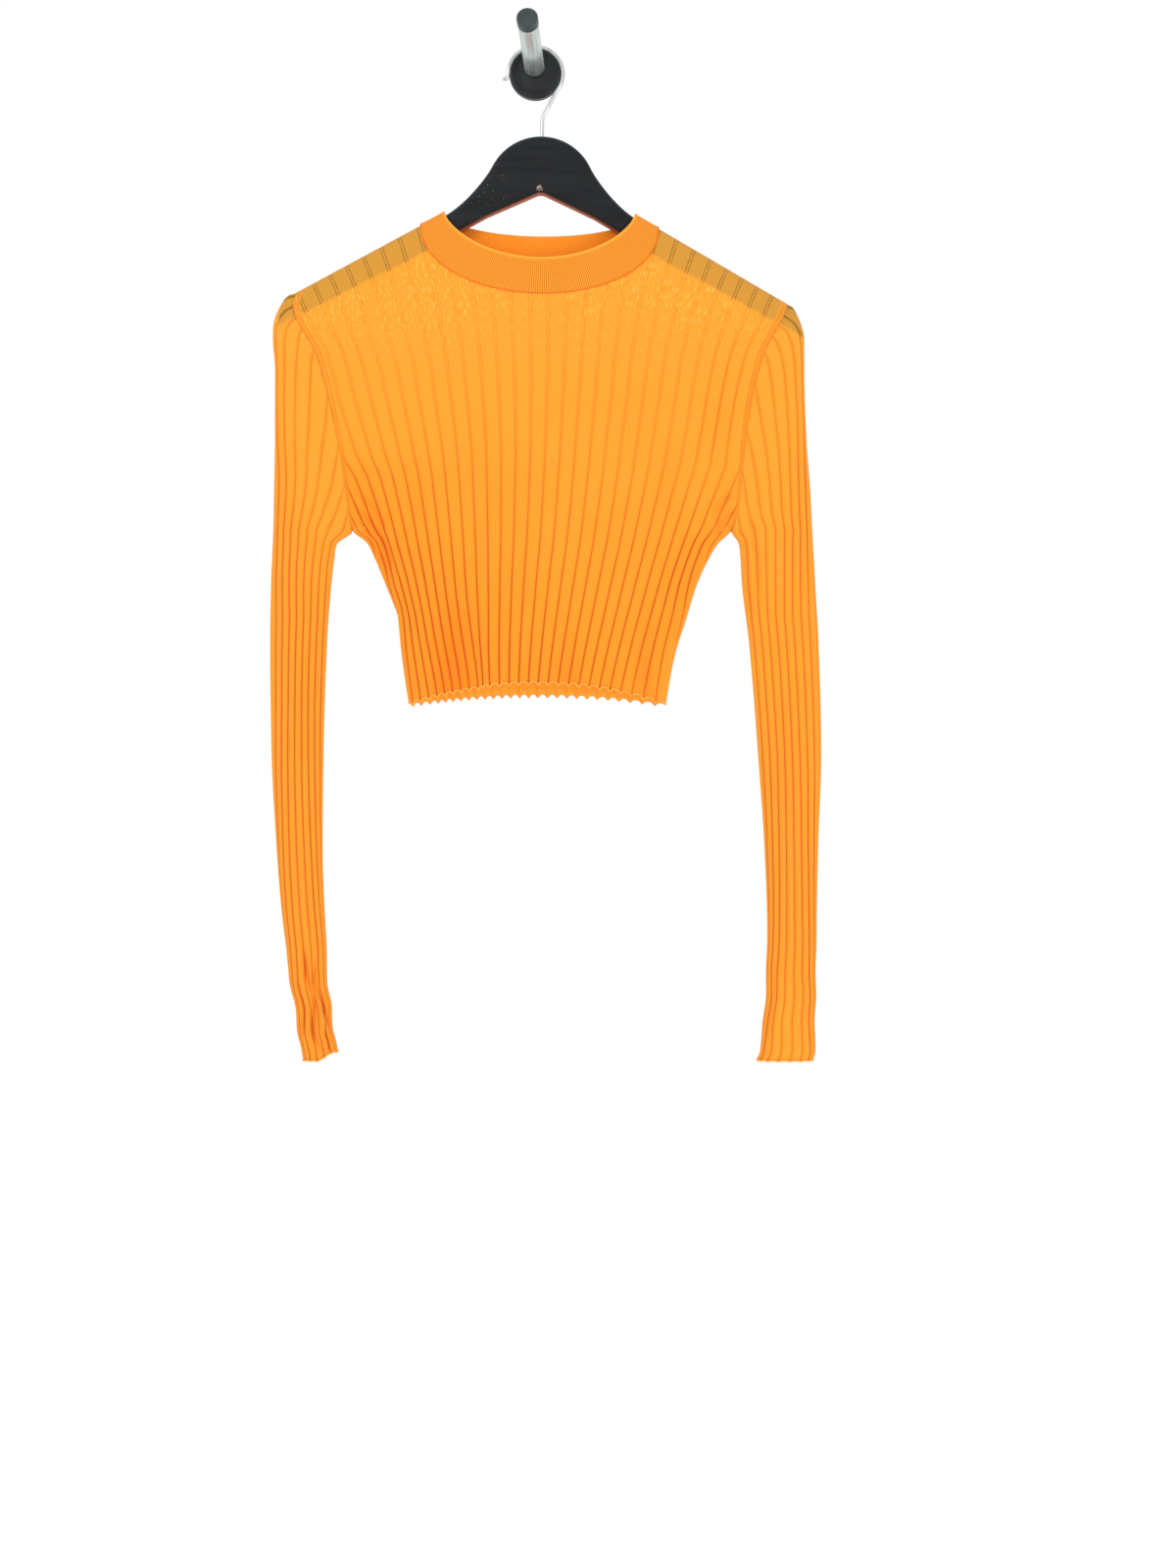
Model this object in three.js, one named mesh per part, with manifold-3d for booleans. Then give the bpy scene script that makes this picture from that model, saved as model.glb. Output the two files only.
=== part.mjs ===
// A cropped, wide-ribbed knit sweater on a flat wooden hanger, hung from a wall peg.
//
// Millimetres, +Z up, +X to the right of someone who faces the wall, and the wall is the plane y = 0.
// The origin is the centre of the peg plate's back face, where it is screwed to the wall.
//
// The cloth is five knitted pieces: front, back, two sleeves and a neckband. Each is a grid of points
// on the garment's outer skin, and a second grid one wall's thickness inside it closes the solid.
// Pieces meet along shared seam points, each held back from the seam by half of SEAM_GAP.

import * as THREE from "three";
import { mergeVertices } from "three/addons/utils/BufferGeometryUtils.js";
import Module from "manifold-3d";

const wasm = await Module();
wasm.setup();

// ---- Cloth -----------------------------------------------------------------------------------
const WALL = 1.5; // the knit, with the ribs' own depth averaged out
const BAND_WALL = 2; // the neckband is knitted double
const BAND_LIFT = 1.3; // so it stands this much higher than the panels where it crosses the hanger
const SEAM_GAP = 0.3; // between neighbouring pieces
const HANG_PLANE = -21; // y of the middle of the hanger, and of the side and shoulder folds
const LIFT = 2.9; // from the wood's top edge up to the outside of the cloth
const FOLD_RADIUS = 9; // how far down the cloth takes to turn over the hanger
const ARMPIT = -379.5; // z
const ARMPIT_EASE = 60; // above the armpit, the height over which front and back draw apart
const EDGE_FULLNESS = 0.85; // depth at the armhole seam, as a share of the depth mid-chest
const BODY_ROUNDING = 2.4; // exponent of the body's section, 2 is an ellipse
const SLEEVE_ROUNDING = 2.5;
const CAP_ROUNDING = 3; // the same for the sleeve's head, where it opens into the armhole
const CAP_BULGE = 0.4; // share of the sleeve's own depth added to its head
const BAND_LEAN = 0.08; // share of its depth that the band gives up by its top edge

// The body's section at each height: its two edges, and how far its front and back stand off the
// hanging plane. Above the armpit the edges are the armhole seams.
const BODY = [
  { z: -186.6, left: -194.7, right: 208.0, front: 10.5, back: 9.8 },
  { z: -196.0, left: -196.8, right: 206.0, front: 11.0, back: 10.0 },
  { z: -238.0, left: -177.3, right: 185.6, front: 13.0, back: 11.5 },
  { z: -282.0, left: -165.2, right: 174.8, front: 15.0, back: 12.5 },
  { z: -330.0, left: -155.5, right: 168.6, front: 16.0, back: 13.0 },
  { z: -362.0, left: -152.0, right: 165.6, front: 16.0, back: 13.0 },
  { z: ARMPIT, left: -149.0, right: 160.5, front: 16.0, back: 13.0 },
  { z: -390.0, left: -137.0, right: 150.0, front: 15.8, back: 13.0 },
  { z: -405.0, left: -130.0, right: 141.0, front: 15.5, back: 12.8 },
  { z: -426.0, left: -121.2, right: 131.8, front: 15.0, back: 12.5 },
  { z: -450.0, left: -112.6, right: 124.4, front: 14.5, back: 12.0 },
  { z: -480.0, left: -109.2, right: 115.0, front: 14.0, back: 11.8 },
  { z: -521.0, left: -103.5, right: 107.0, front: 13.5, back: 11.5 },
];

// The armhole's highest point on each side, on the shoulder line.
const SHOULDER_POINT = { left: -194.7, right: 206.0 }; // x

// Each sleeve's section: the edge next to the body, the outer edge, and the depth each way.
const LEFT_SLEEVE = [
  { z: -184.7, inner: -194.7, outer: -194.7, depth: 9.5 },
  { z: -188.0, inner: -195.4, outer: -201.8, depth: 9.5 },
  { z: -191.0, inner: -196.2, outer: -204.6, depth: 9.5 },
  { z: -194.6, inner: -196.8, outer: -207.0, depth: 9.5 },
  { z: -201.0, inner: -195.9, outer: -210.6, depth: 9.5 },
  { z: -207.5, inner: -193.0, outer: -212.8, depth: 9.5 },
  { z: -214.0, inner: -189.8, outer: -213.9, depth: 9.5 },
  { z: -222.0, inner: -185.8, outer: -214.0, depth: 9.5 },
  { z: -250.0, inner: -173.2, outer: -212.2, depth: 9.5 },
  { z: -300.0, inner: -161.0, outer: -212.4, depth: 10.0 },
  { z: -350.0, inner: -153.2, outer: -213.2, depth: 10.0 },
  { z: ARMPIT, inner: -149.0, outer: -213.8, depth: 9.5 },
  { z: -390.0, inner: -161.0, outer: -214.2, depth: 9.2 },
  { z: -425.0, inner: -166.8, outer: -215.6, depth: 9.0 },
  { z: -470.0, inner: -170.2, outer: -216.3, depth: 8.5 },
  { z: -560.0, inner: -173.2, outer: -215.2, depth: 8.5 },
  { z: -640.0, inner: -174.0, outer: -211.0, depth: 8.5 },
  { z: -700.0, inner: -172.0, outer: -206.0, depth: 8.5 },
  { z: -760.0, inner: -168.0, outer: -197.5, depth: 9.0 },
  { z: -812.0, inner: -163.0, outer: -191.0, depth: 8.5 },
];
const RIGHT_SLEEVE = [
  { z: -193.9, inner: 206.0, outer: 206.0, depth: 9.5 },
  { z: -196.5, inner: 205.8, outer: 209.6, depth: 9.5 },
  { z: -201.0, inner: 204.6, outer: 213.0, depth: 9.5 },
  { z: -207.5, inner: 201.4, outer: 216.2, depth: 9.5 },
  { z: -214.0, inner: 197.6, outer: 218.4, depth: 9.5 },
  { z: -222.0, inner: 193.4, outer: 220.0, depth: 9.5 },
  { z: -250.0, inner: 181.4, outer: 220.0, depth: 9.5 },
  { z: -300.0, inner: 171.4, outer: 221.6, depth: 10.0 },
  { z: -350.0, inner: 166.4, outer: 225.2, depth: 10.0 },
  { z: ARMPIT, inner: 160.5, outer: 226.6, depth: 9.5 },
  { z: -390.0, inner: 166.6, outer: 227.2, depth: 9.2 },
  { z: -425.0, inner: 169.4, outer: 229.2, depth: 9.0 },
  { z: -470.0, inner: 175.0, outer: 231.8, depth: 8.5 },
  { z: -560.0, inner: 182.4, outer: 234.0, depth: 8.5 },
  { z: -640.0, inner: 188.0, outer: 231.4, depth: 8.5 },
  { z: -700.0, inner: 190.2, outer: 230.2, depth: 8.5 },
  { z: -760.0, inner: 188.8, outer: 229.4, depth: 9.0 },
  { z: -812.0, inner: 182.6, outer: 228.2, depth: 9.5 },
];

// Soft waves that run up from the hem. x is the middle of a wave at the hem, width is half its
// width, a positive depth stands out, and the wave fades away over FOLD_FADE below its top.
const FOLD_FADE = 90;
const FOLDS = [
  { face: -1, x: -76, width: 15, depth: -3.0, top: -415 },
  { face: -1, x: -44, width: 17, depth: 2.0, top: -440 },
  { face: -1, x: 32, width: 12, depth: -2.5, top: -450 },
  { face: -1, x: 60, width: 13, depth: 2.0, top: -430 },
  { face: -1, x: 88, width: 9, depth: -3.0, top: -420 },
  { face: 1, x: -60, width: 16, depth: -2.5, top: -430 },
  { face: 1, x: -8, width: 20, depth: 2.0, top: -450 },
  { face: 1, x: 54, width: 14, depth: -3.0, top: -420 },
];

const HEM = { side: -521, frontRise: 17, backRise: 8 }; // z at the side folds, and the arch mid-hem

// The neckline: half its width at the seam and along the band's top edge, and how far the front and
// back fall below the shoulder line. The powers set how square each curve is.
const NECK = {
  x: 4,
  seamHalf: 97,
  topHalf: 78,
  front: { seamDrop: 56, seamPower: 0.9, topDrop: 37, topPower: 1.3 },
  back: { seamDrop: 34, seamPower: 1, topDrop: 16, topPower: 1.2 },
};

// ---- Hanger, in its own axes: x = 0 and z = 0 at the top of its hump ------------------------------
const HANGER = {
  apex: { x: 5.8, z: -57.5 },
  roll: THREE.MathUtils.degToRad(1.0), // it hangs a little down on the right
  thickness: 12,
  edgeRadius: 4.5,
  humpRadius: 44,
  armSlope: 0.561,
  armTop: 22.4, // the arms' upper edges, produced, meet this far below the hump
  armHeight: 19.8, // measured straight down
  vee: 46.8, // depth of the notch under the hump
  veeSlope: 0.455,
  humpFoot: 14, // the hump's round top stops this far above its own centre
  flankEnd: 80, // where the hump's flank becomes the straight arm
  flankPull: { top: [3, -9.5], end: [-19.2, 10.8] }, // its curve's handles from either end
  halfSpan: 210.5,
  cornerRadius: 6.5, // at the lower corner of each tip
  nose: { length: 14.5, pull: 7.5, inset: 1, rise: 9 }, // the tip's upper curve
  veeFlat: 2, // half the width of the notch's blunt top
};
const WIRE = { radius: 1.75, hole: 2.05, depth: 24 };
// The hook's ring, and the wire's way up to it from the wood and on from it to the tip.
const HOOK = {
  x: -6.2,
  z: 51.5,
  radius: 22.4,
  from: -40, // degrees
  stem: [[0, -WIRE.depth], [0, -8], [0, 6], [0.4, 16], [3.5, 22.5]],
  tip: [[-29.8, 47.5], [-33.1, 47]],
};

// ---- Wall peg ----------------------------------------------------------------------------------
const PEG = {
  plateRadius: 21.6,
  plateDepth: 8,
  plateRound: 2,
  rodRadius: 8.3,
  rodEnd: 71, // along the rod's axis, from the wall
  capRadius: 8.6,
  capEnd: 81,
  capRound: 1.5,
  tilt: THREE.MathUtils.degToRad(-14.9),
  yaw: THREE.MathUtils.degToRad(-3.6),
};

// ---- Grid counts -------------------------------------------------------------------------------
const NECK_ANGLES = [0, 16, 31, 45, 58, 69, 78, 84, 88, 90]; // degrees round from the centre
const SHOULDER_STEPS = 5;
const TURN_ROWS = [0, 1.5, 4, 8]; // distances below the shoulder line, where the cloth turns over
const SPREAD = 120; // below the neckline, the height over which columns come to even spacing
const UPPER_ROWS = 9; // from the last of those down to the armpit
const LOWER_ROWS = 8; // from the armpit down to the hem
const SLEEVE_ROWS = [0, 0.006, 0.015, 0.028, 0.045, 0.07, 0.11, 0.17, 0.24, 0.32, 0.41, 0.5, 0.59,
  0.68, 0.77, 0.85, 0.93, 1]; // shares of each rib's length
const BAND_ROWS = 3;

const clamp01 = (t) => Math.min(Math.max(t, 0), 1);
const mix = (a, b, t) => a + (b - a) * t;
const smooth = (t) => clamp01(t) ** 2 * (3 - 2 * clamp01(t));

// A column of a table of sections, at height z. The rows run downwards.
function along(table, column, z) {
  const below = table.findIndex((row) => row.z <= z);
  if (below === 0) return table[0][column];
  if (below < 0) return table[table.length - 1][column];
  const [a, b] = [table[below - 1], table[below]];
  return mix(a[column], b[column], (a.z - z) / (a.z - b.z));
}

// The outside of the cloth along the top of the hanger's arms, at a place across the garment.
function shoulderLine(x) {
  const side = Math.sign(x - HANGER.apex.x) || 1;
  const top = HANGER.armTop - LIFT;
  const [c, s] = [Math.cos(HANGER.roll), Math.sin(HANGER.roll)];
  const out = (x - HANGER.apex.x + top * s) / (c - side * HANGER.armSlope * s);
  return HANGER.apex.z - out * s - (top + HANGER.armSlope * Math.abs(out)) * c;
}

// How far the cloth has turned over the hanger's arm, a given distance below the shoulder line:
// flat is 0 on the line and 1 where it hangs straight, and crest is the other way about.
function turn(distance) {
  const crest = 1 - clamp01(distance / FOLD_RADIUS);
  return { crest, flat: Math.sqrt(1 - crest * crest) };
}

// 1 where the section is pinched shut at the armhole seam (the armpit and below), 0 well above it.
const pinched = (z) => 1 - smooth((z - ARMPIT) / ARMPIT_EASE);

// The cloth's direction outwards along a seam: over the shoulder it is the shoulder line's own
// normal, and elsewhere straight forwards or back.
function seamNormal(x, z, face) {
  const { crest, flat } = turn(shoulderLine(x) - z);
  const side = Math.sign(x - HANGER.apex.x);
  const slope = Math.atan(HANGER.armSlope) + side * HANGER.roll;
  return new THREE.Vector3(side * Math.sin(slope) * crest, face * flat, Math.cos(slope) * crest);
}

// ---- Body --------------------------------------------------------------------------------------
// face is -1 for the front and 1 for the back.
const faceName = (face) => (face < 0 ? "front" : "back");

// Depth of the body off the hanging plane. across runs from -1 at the left edge to 1 at the right.
function bodyDepth(across, x, z, face) {
  const full = along(BODY, faceName(face), z);
  const edge = full * EDGE_FULLNESS * (1 - pinched(z));
  const bow = (1 - Math.min(Math.abs(across), 1) ** BODY_ROUNDING) ** (1 / BODY_ROUNDING);
  const waves = FOLDS.filter((fold) => fold.face === face).map((fold) =>
    fold.depth * Math.exp(-(((x - fold.x) / fold.width) ** 2)) * smooth((fold.top - z) / FOLD_FADE));
  const wave = bow * waves.reduce((sum, value) => sum + value, 0);
  return (edge + (full - edge) * bow) * turn(shoulderLine(x) - z).flat + wave;
}

// The neckline at an angle: -90 degrees at the left shoulder, 0 at the centre, 90 at the right.
// grow moves the curve outwards, and up is 0 on the seam and 1 on the band's top edge.
function neckline(angle, face, up = 0, grow = 0) {
  const shape = NECK[faceName(face)];
  const half = mix(NECK.seamHalf, NECK.topHalf, up) + grow;
  const drop = mix(shape.seamDrop, shape.topDrop, up) + grow;
  const power = mix(shape.seamPower, shape.topPower, up);
  const x = NECK.x + half * Math.sin(angle);
  const [left, right] = [shoulderLine(NECK.x - half), shoulderLine(NECK.x + half)];
  const z = mix(left, right, (1 + Math.sin(angle)) / 2) - drop * Math.max(Math.cos(angle), 0) ** power;
  return { x, z };
}

// The angles of the neck's points from left to right.
const neckAngles = [...NECK_ANGLES.slice(1).reverse().map((degrees) => -degrees), ...NECK_ANGLES]
  .map(THREE.MathUtils.degToRad);

// The top edge of a body panel, from the left shoulder point, along the neckline, to the right one.
function topEdge(face) {
  const corners = [neckline(-Math.PI / 2, face, 0, SEAM_GAP), neckline(Math.PI / 2, face, 0, SEAM_GAP)];
  const points = [];
  for (let i = 0; i < SHOULDER_STEPS; i++) {
    const x = mix(SHOULDER_POINT.left, corners[0].x, i / SHOULDER_STEPS);
    points.push({ x, z: shoulderLine(x) });
  }
  for (const angle of neckAngles) points.push(neckline(angle, face, 0, SEAM_GAP));
  for (let i = 1; i <= SHOULDER_STEPS; i++) {
    const x = mix(corners[1].x, SHOULDER_POINT.right, i / SHOULDER_STEPS);
    points.push({ x, z: shoulderLine(x) });
  }
  return points;
}

// Heights down a rib from its top to the armpit: close together where the cloth turns over.
function upperHeights(top) {
  const turned = TURN_ROWS.map((distance) => top - distance);
  const last = turned[turned.length - 1];
  const rest = Array.from({ length: UPPER_ROWS }, (_, i) => mix(last, ARMPIT, (i + 1) / UPPER_ROWS));
  return [...turned, ...rest];
}

function bodyGrid(face) {
  const rise = HEM[`${faceName(face)}Rise`];
  const [leftTop, rightTop] = [SHOULDER_POINT.left, SHOULDER_POINT.right];
  return topEdge(face).map((top, column, all) => {
    const even = mix(-1, 1, column / (all.length - 1));
    const atTop = mix(-1, 1, (top.x - leftTop) / (rightTop - leftTop));
    const hem = HEM.side + rise * (1 - even * even);
    const lower = Array.from({ length: LOWER_ROWS }, (_, i) => mix(ARMPIT, hem, (i + 1) / LOWER_ROWS));
    const edge = column === 0 || column === all.length - 1;
    return [...upperHeights(top.z), ...lower].map((z, row) => {
      const across = mix(atTop, even, smooth((top.z - z) / SPREAD));
      const leftEdge = z > shoulderLine(leftTop) ? leftTop : along(BODY, "left", z);
      const rightEdge = z > shoulderLine(rightTop) ? rightTop : along(BODY, "right", z);
      const seam = edge ? -Math.sign(across) * SEAM_GAP / 2 : 0;
      const x = mix(leftEdge, rightEdge, (1 + across) / 2) + seam;
      const depth = Math.max(bodyDepth(across, x - seam, z, face), SEAM_GAP / 2);
      const point = new THREE.Vector3(x, HANG_PLANE + face * depth, z);
      if (edge) {
        const normal = seamNormal(x - seam, z, face);
        return { point, normal: normal.lerp(new THREE.Vector3(Math.sign(across), 0, 0), pinched(z)) };
      }
      const turning = row === 0 || top.z - z < FOLD_RADIUS;
      return { point, normal: turning ? seamNormal(x, z, face) : null };
    });
  });
}

// ---- Sleeves -----------------------------------------------------------------------------------
// Columns run round the sleeve: from the underarm up the front of the armhole, over the shoulder
// point and down the back. Each follows a rib from the armhole seam to the cuff.
function sleeveGrid(table, side) {
  const shoulder = side < 0 ? SHOULDER_POINT.left : SHOULDER_POINT.right;
  const heights = upperHeights(shoulderLine(shoulder)).reverse(); // underarm first
  const half = heights.length - 1;
  const cuff = table[table.length - 1].z;

  // The share of the way round, 0 to 0.5, at which the front of the armhole is at height z.
  const seamShare = (z) => {
    if (z <= heights[0]) return 0;
    const above = heights.findIndex((height) => height >= z);
    if (above < 0) return 0.5;
    return (above - (heights[above] - z) / (heights[above] - heights[above - 1])) / (2 * half);
  };

  return Array.from({ length: 2 * half }, (_, column) => {
    const share = column / (2 * half);
    const face = column <= half ? -1 : 1;
    const start = heights[column <= half ? column : 2 * half - column];
    return SLEEVE_ROWS.map((part, row) => {
      const z = mix(start, cuff, part);
      const seam = seamShare(z);
      const local = seam < 0.5 ? clamp01((share - seam) / (1 - 2 * seam)) : 0.5;
      const shut = pinched(z);
      const reach = clamp01(mix(Math.sin(Math.PI * local), (1 - Math.cos(2 * Math.PI * local)) / 2, shut));
      const inner = z >= ARMPIT ? along(BODY, side < 0 ? "left" : "right", z) : along(table, "inner", z);
      const outer = along(table, "outer", z);
      const gap = row === 0 ? side * SEAM_GAP / 2 : 0;
      const x = mix(inner, outer, row === 0 ? 0 : reach) + gap;
      const atSeam = bodyDepth(side, inner, z, face);
      const open = atSeam * (1 - reach ** CAP_ROUNDING) ** (1 / CAP_ROUNDING);
      const tube = along(table, "depth", z) *
        (1 - Math.abs(2 * reach - 1) ** SLEEVE_ROUNDING) ** (1 / SLEEVE_ROUNDING);
      const depth = row === 0 ? atSeam : Math.hypot(open, tube * mix(CAP_BULGE, 1, shut));
      const point = new THREE.Vector3(x, HANG_PLANE + face * depth, z);
      if (row > 0) return { point, normal: null };
      const normal = seamNormal(inner, z, column === half || column === 0 ? 0 : face);
      return { point, normal: normal.lerp(new THREE.Vector3(-side, 0, 0), shut) };
    });
  });
}

// ---- Neckband ----------------------------------------------------------------------------------
function bandGrid() {
  const ring = [
    ...neckAngles.slice(0, -1).map((angle) => ({ angle, face: -1 })),
    ...neckAngles.slice(1).reverse().map((angle) => ({ angle, face: 1 })),
  ];
  return ring.map(({ angle, face }) => Array.from({ length: BAND_ROWS + 1 }, (_, row) => {
    const up = row / BAND_ROWS;
    const { x, z } = neckline(angle, face, up);
    const across = mix(-1, 1, (x - SHOULDER_POINT.left) / (SHOULDER_POINT.right - SHOULDER_POINT.left));
    const lift = BAND_LIFT * turn(shoulderLine(x) - z).crest;
    const depth = bodyDepth(across, x, z, face) * (1 - BAND_LEAN * up);
    const point = new THREE.Vector3(x, HANG_PLANE + face * depth, z + lift);
    return { point, normal: seamNormal(x, z, Math.cos(angle) > 1e-6 ? face : 0) };
  }));
}

// ---- Making solids -----------------------------------------------------------------------------
// A wall from a grid of columns of { point, normal }. Points with no normal of their own take it
// from their neighbours, and turned says that the columns run the other way about the garment.
// ring closes the last column on the first. The inner grid never crosses the hanging plane.
function wall(columns, thickness, { ring = false, turned = false } = {}) {
  const [across, down] = [columns.length, columns[0].length];
  const at = (i, j) => columns[ring ? (i + across) % across : THREE.MathUtils.clamp(i, 0, across - 1)][
    THREE.MathUtils.clamp(j, 0, down - 1)].point;
  const positions = [];
  for (let i = 0; i < across; i++) {
    for (let j = 0; j < down; j++) positions.push(...at(i, j).toArray());
  }
  for (let i = 0; i < across; i++) {
    for (let j = 0; j < down; j++) {
      const right = at(i + 1, j).clone().sub(at(i - 1, j));
      const below = at(i, j + 1).clone().sub(at(i, j - 1));
      const normal = (columns[i][j].normal ?? right.cross(below)).clone();
      if (j === down - 1) normal.z = 0;
      if (!columns[i][j].normal && turned) normal.negate();
      const inner = at(i, j).clone().addScaledVector(normal.normalize(), -thickness);
      const side = Math.sign(at(i, j).y - HANG_PLANE);
      if (side) inner.y = HANG_PLANE + side * Math.max(side * (inner.y - HANG_PLANE), SEAM_GAP / 2);
      positions.push(...inner.toArray());
    }
  }
  const index = [];
  const inside = across * down;
  const quad = (a, b, c, d) => index.push(a, b, c, a, c, d);
  const last = ring ? across : across - 1;
  for (let i = 0; i < last; i++) {
    const [a, b] = [i * down, ((i + 1) % across) * down];
    for (let j = 0; j < down - 1; j++) {
      quad(a + j, a + j + 1, b + j + 1, b + j);
      quad(inside + a + j, inside + b + j, inside + b + j + 1, inside + a + j + 1);
    }
    quad(a, b, inside + b, inside + a);
    quad(a + down - 1, inside + a + down - 1, inside + b + down - 1, b + down - 1);
  }
  if (!ring) {
    const end = (across - 1) * down;
    for (let j = 0; j < down - 1; j++) {
      quad(j, inside + j, inside + j + 1, j + 1);
      quad(end + j, end + j + 1, inside + end + j + 1, inside + end + j);
    }
  }
  return facingOut(positions, index);
}

// A geometry from points and triangles, turned inside out if its volume comes out negative.
function facingOut(positions, index) {
  const corner = (n) => new THREE.Vector3().fromArray(positions, 3 * n);
  let volume = 0;
  for (let i = 0; i < index.length; i += 3) {
    volume += corner(index[i]).dot(corner(index[i + 1]).cross(corner(index[i + 2])));
  }
  const geometry = new THREE.BufferGeometry();
  geometry.setAttribute("position", new THREE.Float32BufferAttribute(positions, 3));
  geometry.setIndex(volume > 0 ? index : index.reverse());
  return geometry;
}

function welded(geometry) {
  const bare = geometry.clone();
  bare.deleteAttribute("normal");
  bare.deleteAttribute("uv");
  const merged = mergeVertices(bare, 1e-3);
  return facingOut(Array.from(merged.attributes.position.array), Array.from(merged.index.array));
}

function toManifold(geometry) {
  const merged = welded(geometry);
  return new wasm.Manifold(new wasm.Mesh({
    numProp: 3,
    vertProperties: merged.attributes.position.array,
    triVerts: Uint32Array.from(merged.index.array),
  }));
}

function subtract(geometry, cutter) {
  const mesh = toManifold(geometry).subtract(toManifold(cutter)).getMesh();
  const cut = new THREE.BufferGeometry();
  cut.setAttribute("position", new THREE.Float32BufferAttribute(mesh.vertProperties, 3));
  cut.setIndex(new THREE.Uint32BufferAttribute(mesh.triVerts, 1));
  return cut;
}

function named(name, geometry, material) {
  const mesh = new THREE.Mesh(geometry, material);
  mesh.name = name;
  return mesh;
}

// ---- Hanger ------------------------------------------------------------------------------------
// The right half runs from the top of the hump down its flank, out along the arm, round the tip and
// back along the arm's foot to the notch. The left half is its mirror image, taken backwards.
function hangerOutline() {
  const h = HANGER;
  const point = (x, z) => new THREE.Vector2(x, z);
  const armTop = (x) => -h.armTop - h.armSlope * x;
  const armFoot = (x) => armTop(x) - h.armHeight;
  const curve = (count, ...ends) => new THREE.CubicBezierCurve(...ends).getPoints(count);
  const arc = (x, z, radius, from, to, count) => Array.from({ length: count + 1 }, (_, i) => {
    const angle = mix(from, to, i / count);
    return point(x + radius * Math.cos(angle), z + radius * Math.sin(angle));
  });

  const hump = arc(0, -h.humpRadius, h.humpRadius, Math.PI / 2, Math.asin(h.humpFoot / h.humpRadius), 10);
  const flankTop = hump[hump.length - 1];
  const flankEnd = point(h.flankEnd, armTop(h.flankEnd));
  const flank = curve(7, flankTop, flankTop.clone().add(point(...h.flankPull.top)),
    flankEnd.clone().add(point(...h.flankPull.end)), flankEnd);

  const [tip, r, nose] = [h.halfSpan, h.cornerRadius, h.nose];
  const cornerZ = armFoot(tip - r) + r * Math.hypot(1, h.armSlope);
  const noseCurve = curve(6, point(tip - nose.length, armTop(tip - nose.length)),
    point(tip - nose.pull, armTop(tip - nose.pull)),
    point(tip - nose.inset, cornerZ + nose.rise), point(tip, cornerZ));
  const corner = arc(tip - r, cornerZ, r, 0, -Math.PI / 2 - Math.atan(h.armSlope), 5).slice(1);

  const elbow = (h.vee - h.armTop - h.armHeight) / (h.armSlope - h.veeSlope); // arm's foot meets vee
  const right = [...hump, ...flank.slice(1), ...noseCurve, ...corner, point(elbow, armFoot(elbow)),
    point(h.veeFlat, -h.vee - h.veeFlat * h.veeSlope)];
  const left = right.slice(1).reverse().map(({ x, y }) => point(-x, y));
  return new THREE.Shape([...right, ...left]);
}

function hangerBody() {
  const { thickness, edgeRadius } = HANGER;
  const wood = new THREE.ExtrudeGeometry(hangerOutline(), {
    depth: thickness - 2 * edgeRadius,
    bevelEnabled: true,
    bevelThickness: edgeRadius,
    bevelSize: edgeRadius,
    bevelOffset: -edgeRadius,
    bevelSegments: 3,
    curveSegments: 8,
  });
  wood.translate(0, 0, edgeRadius - thickness / 2);
  wood.rotateX(Math.PI / 2); // the outline stands up in x and z
  const hole = new THREE.CylinderGeometry(WIRE.hole, WIRE.hole, 2 * WIRE.depth + 1, 16);
  hole.rotateX(Math.PI / 2);
  return subtract(wood, hole);
}

// Wire from its hole in the wood, up the stem, and round over the peg to a turned-out tip.
function hangerHook() {
  const points = [...HOOK.stem];
  for (let degrees = HOOK.from; degrees <= 180; degrees += 20) {
    const angle = THREE.MathUtils.degToRad(degrees);
    points.push([HOOK.x + HOOK.radius * Math.cos(angle), HOOK.z + HOOK.radius * Math.sin(angle)]);
  }
  points.push(...HOOK.tip);
  const path = new THREE.CatmullRomCurve3(points.map(([x, z]) => new THREE.Vector3(x, 0, z)));
  const section = new THREE.Shape().absarc(0, 0, WIRE.radius, 0, 2 * Math.PI, false);
  return new THREE.ExtrudeGeometry(section, { steps: 70, curveSegments: 5, extrudePath: path });
}

// ---- Peg ---------------------------------------------------------------------------------------
const lathe = (profile, sides) =>
  new THREE.LatheGeometry(profile.map(([r, y]) => new THREE.Vector2(r, y)), sides);

function pegPlate() {
  const { plateRadius: r, plateDepth: d, plateRound: e } = PEG;
  return lathe([[0, 0], [r, 0], [r, -d + e], [r - 0.3 * e, -d + 0.3 * e], [r - e, -d], [0, -d]], 48);
}

function alongRod(geometry) {
  geometry.rotateX(PEG.tilt);
  geometry.rotateZ(PEG.yaw);
  return geometry;
}

function pegRod() {
  const rod = alongRod(lathe([[0, 0], [PEG.rodRadius, 0], [PEG.rodRadius, -PEG.rodEnd],
    [0, -PEG.rodEnd]], 32));
  const reach = 4 * PEG.rodRadius;
  const behind = new THREE.BoxGeometry(reach, reach, reach);
  behind.translate(0, reach / 2 - PEG.plateDepth - SEAM_GAP, 0);
  return subtract(rod, behind);
}

function pegCap() {
  const { capRadius: r, capEnd: end, capRound: e } = PEG;
  const start = PEG.rodEnd + SEAM_GAP;
  return alongRod(lathe([[0, -start], [r, -start], [r, -end + e], [r - e, -end], [0, -end]], 32));
}

// ---- Assembly ----------------------------------------------------------------------------------
const paint = (color, roughness, metalness) =>
  new THREE.MeshStandardMaterial({ color, roughness, metalness });
const knit = paint("#fda932", 0.95, 0);
const bandKnit = paint("#f59831", 0.95, 0);
const blackPaint = paint("#2b2c30", 0.45, 0);
const blackPlastic = paint("#3c4042", 0.4, 0);
const chrome = paint("#c4c9cc", 0.2, 1);

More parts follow.
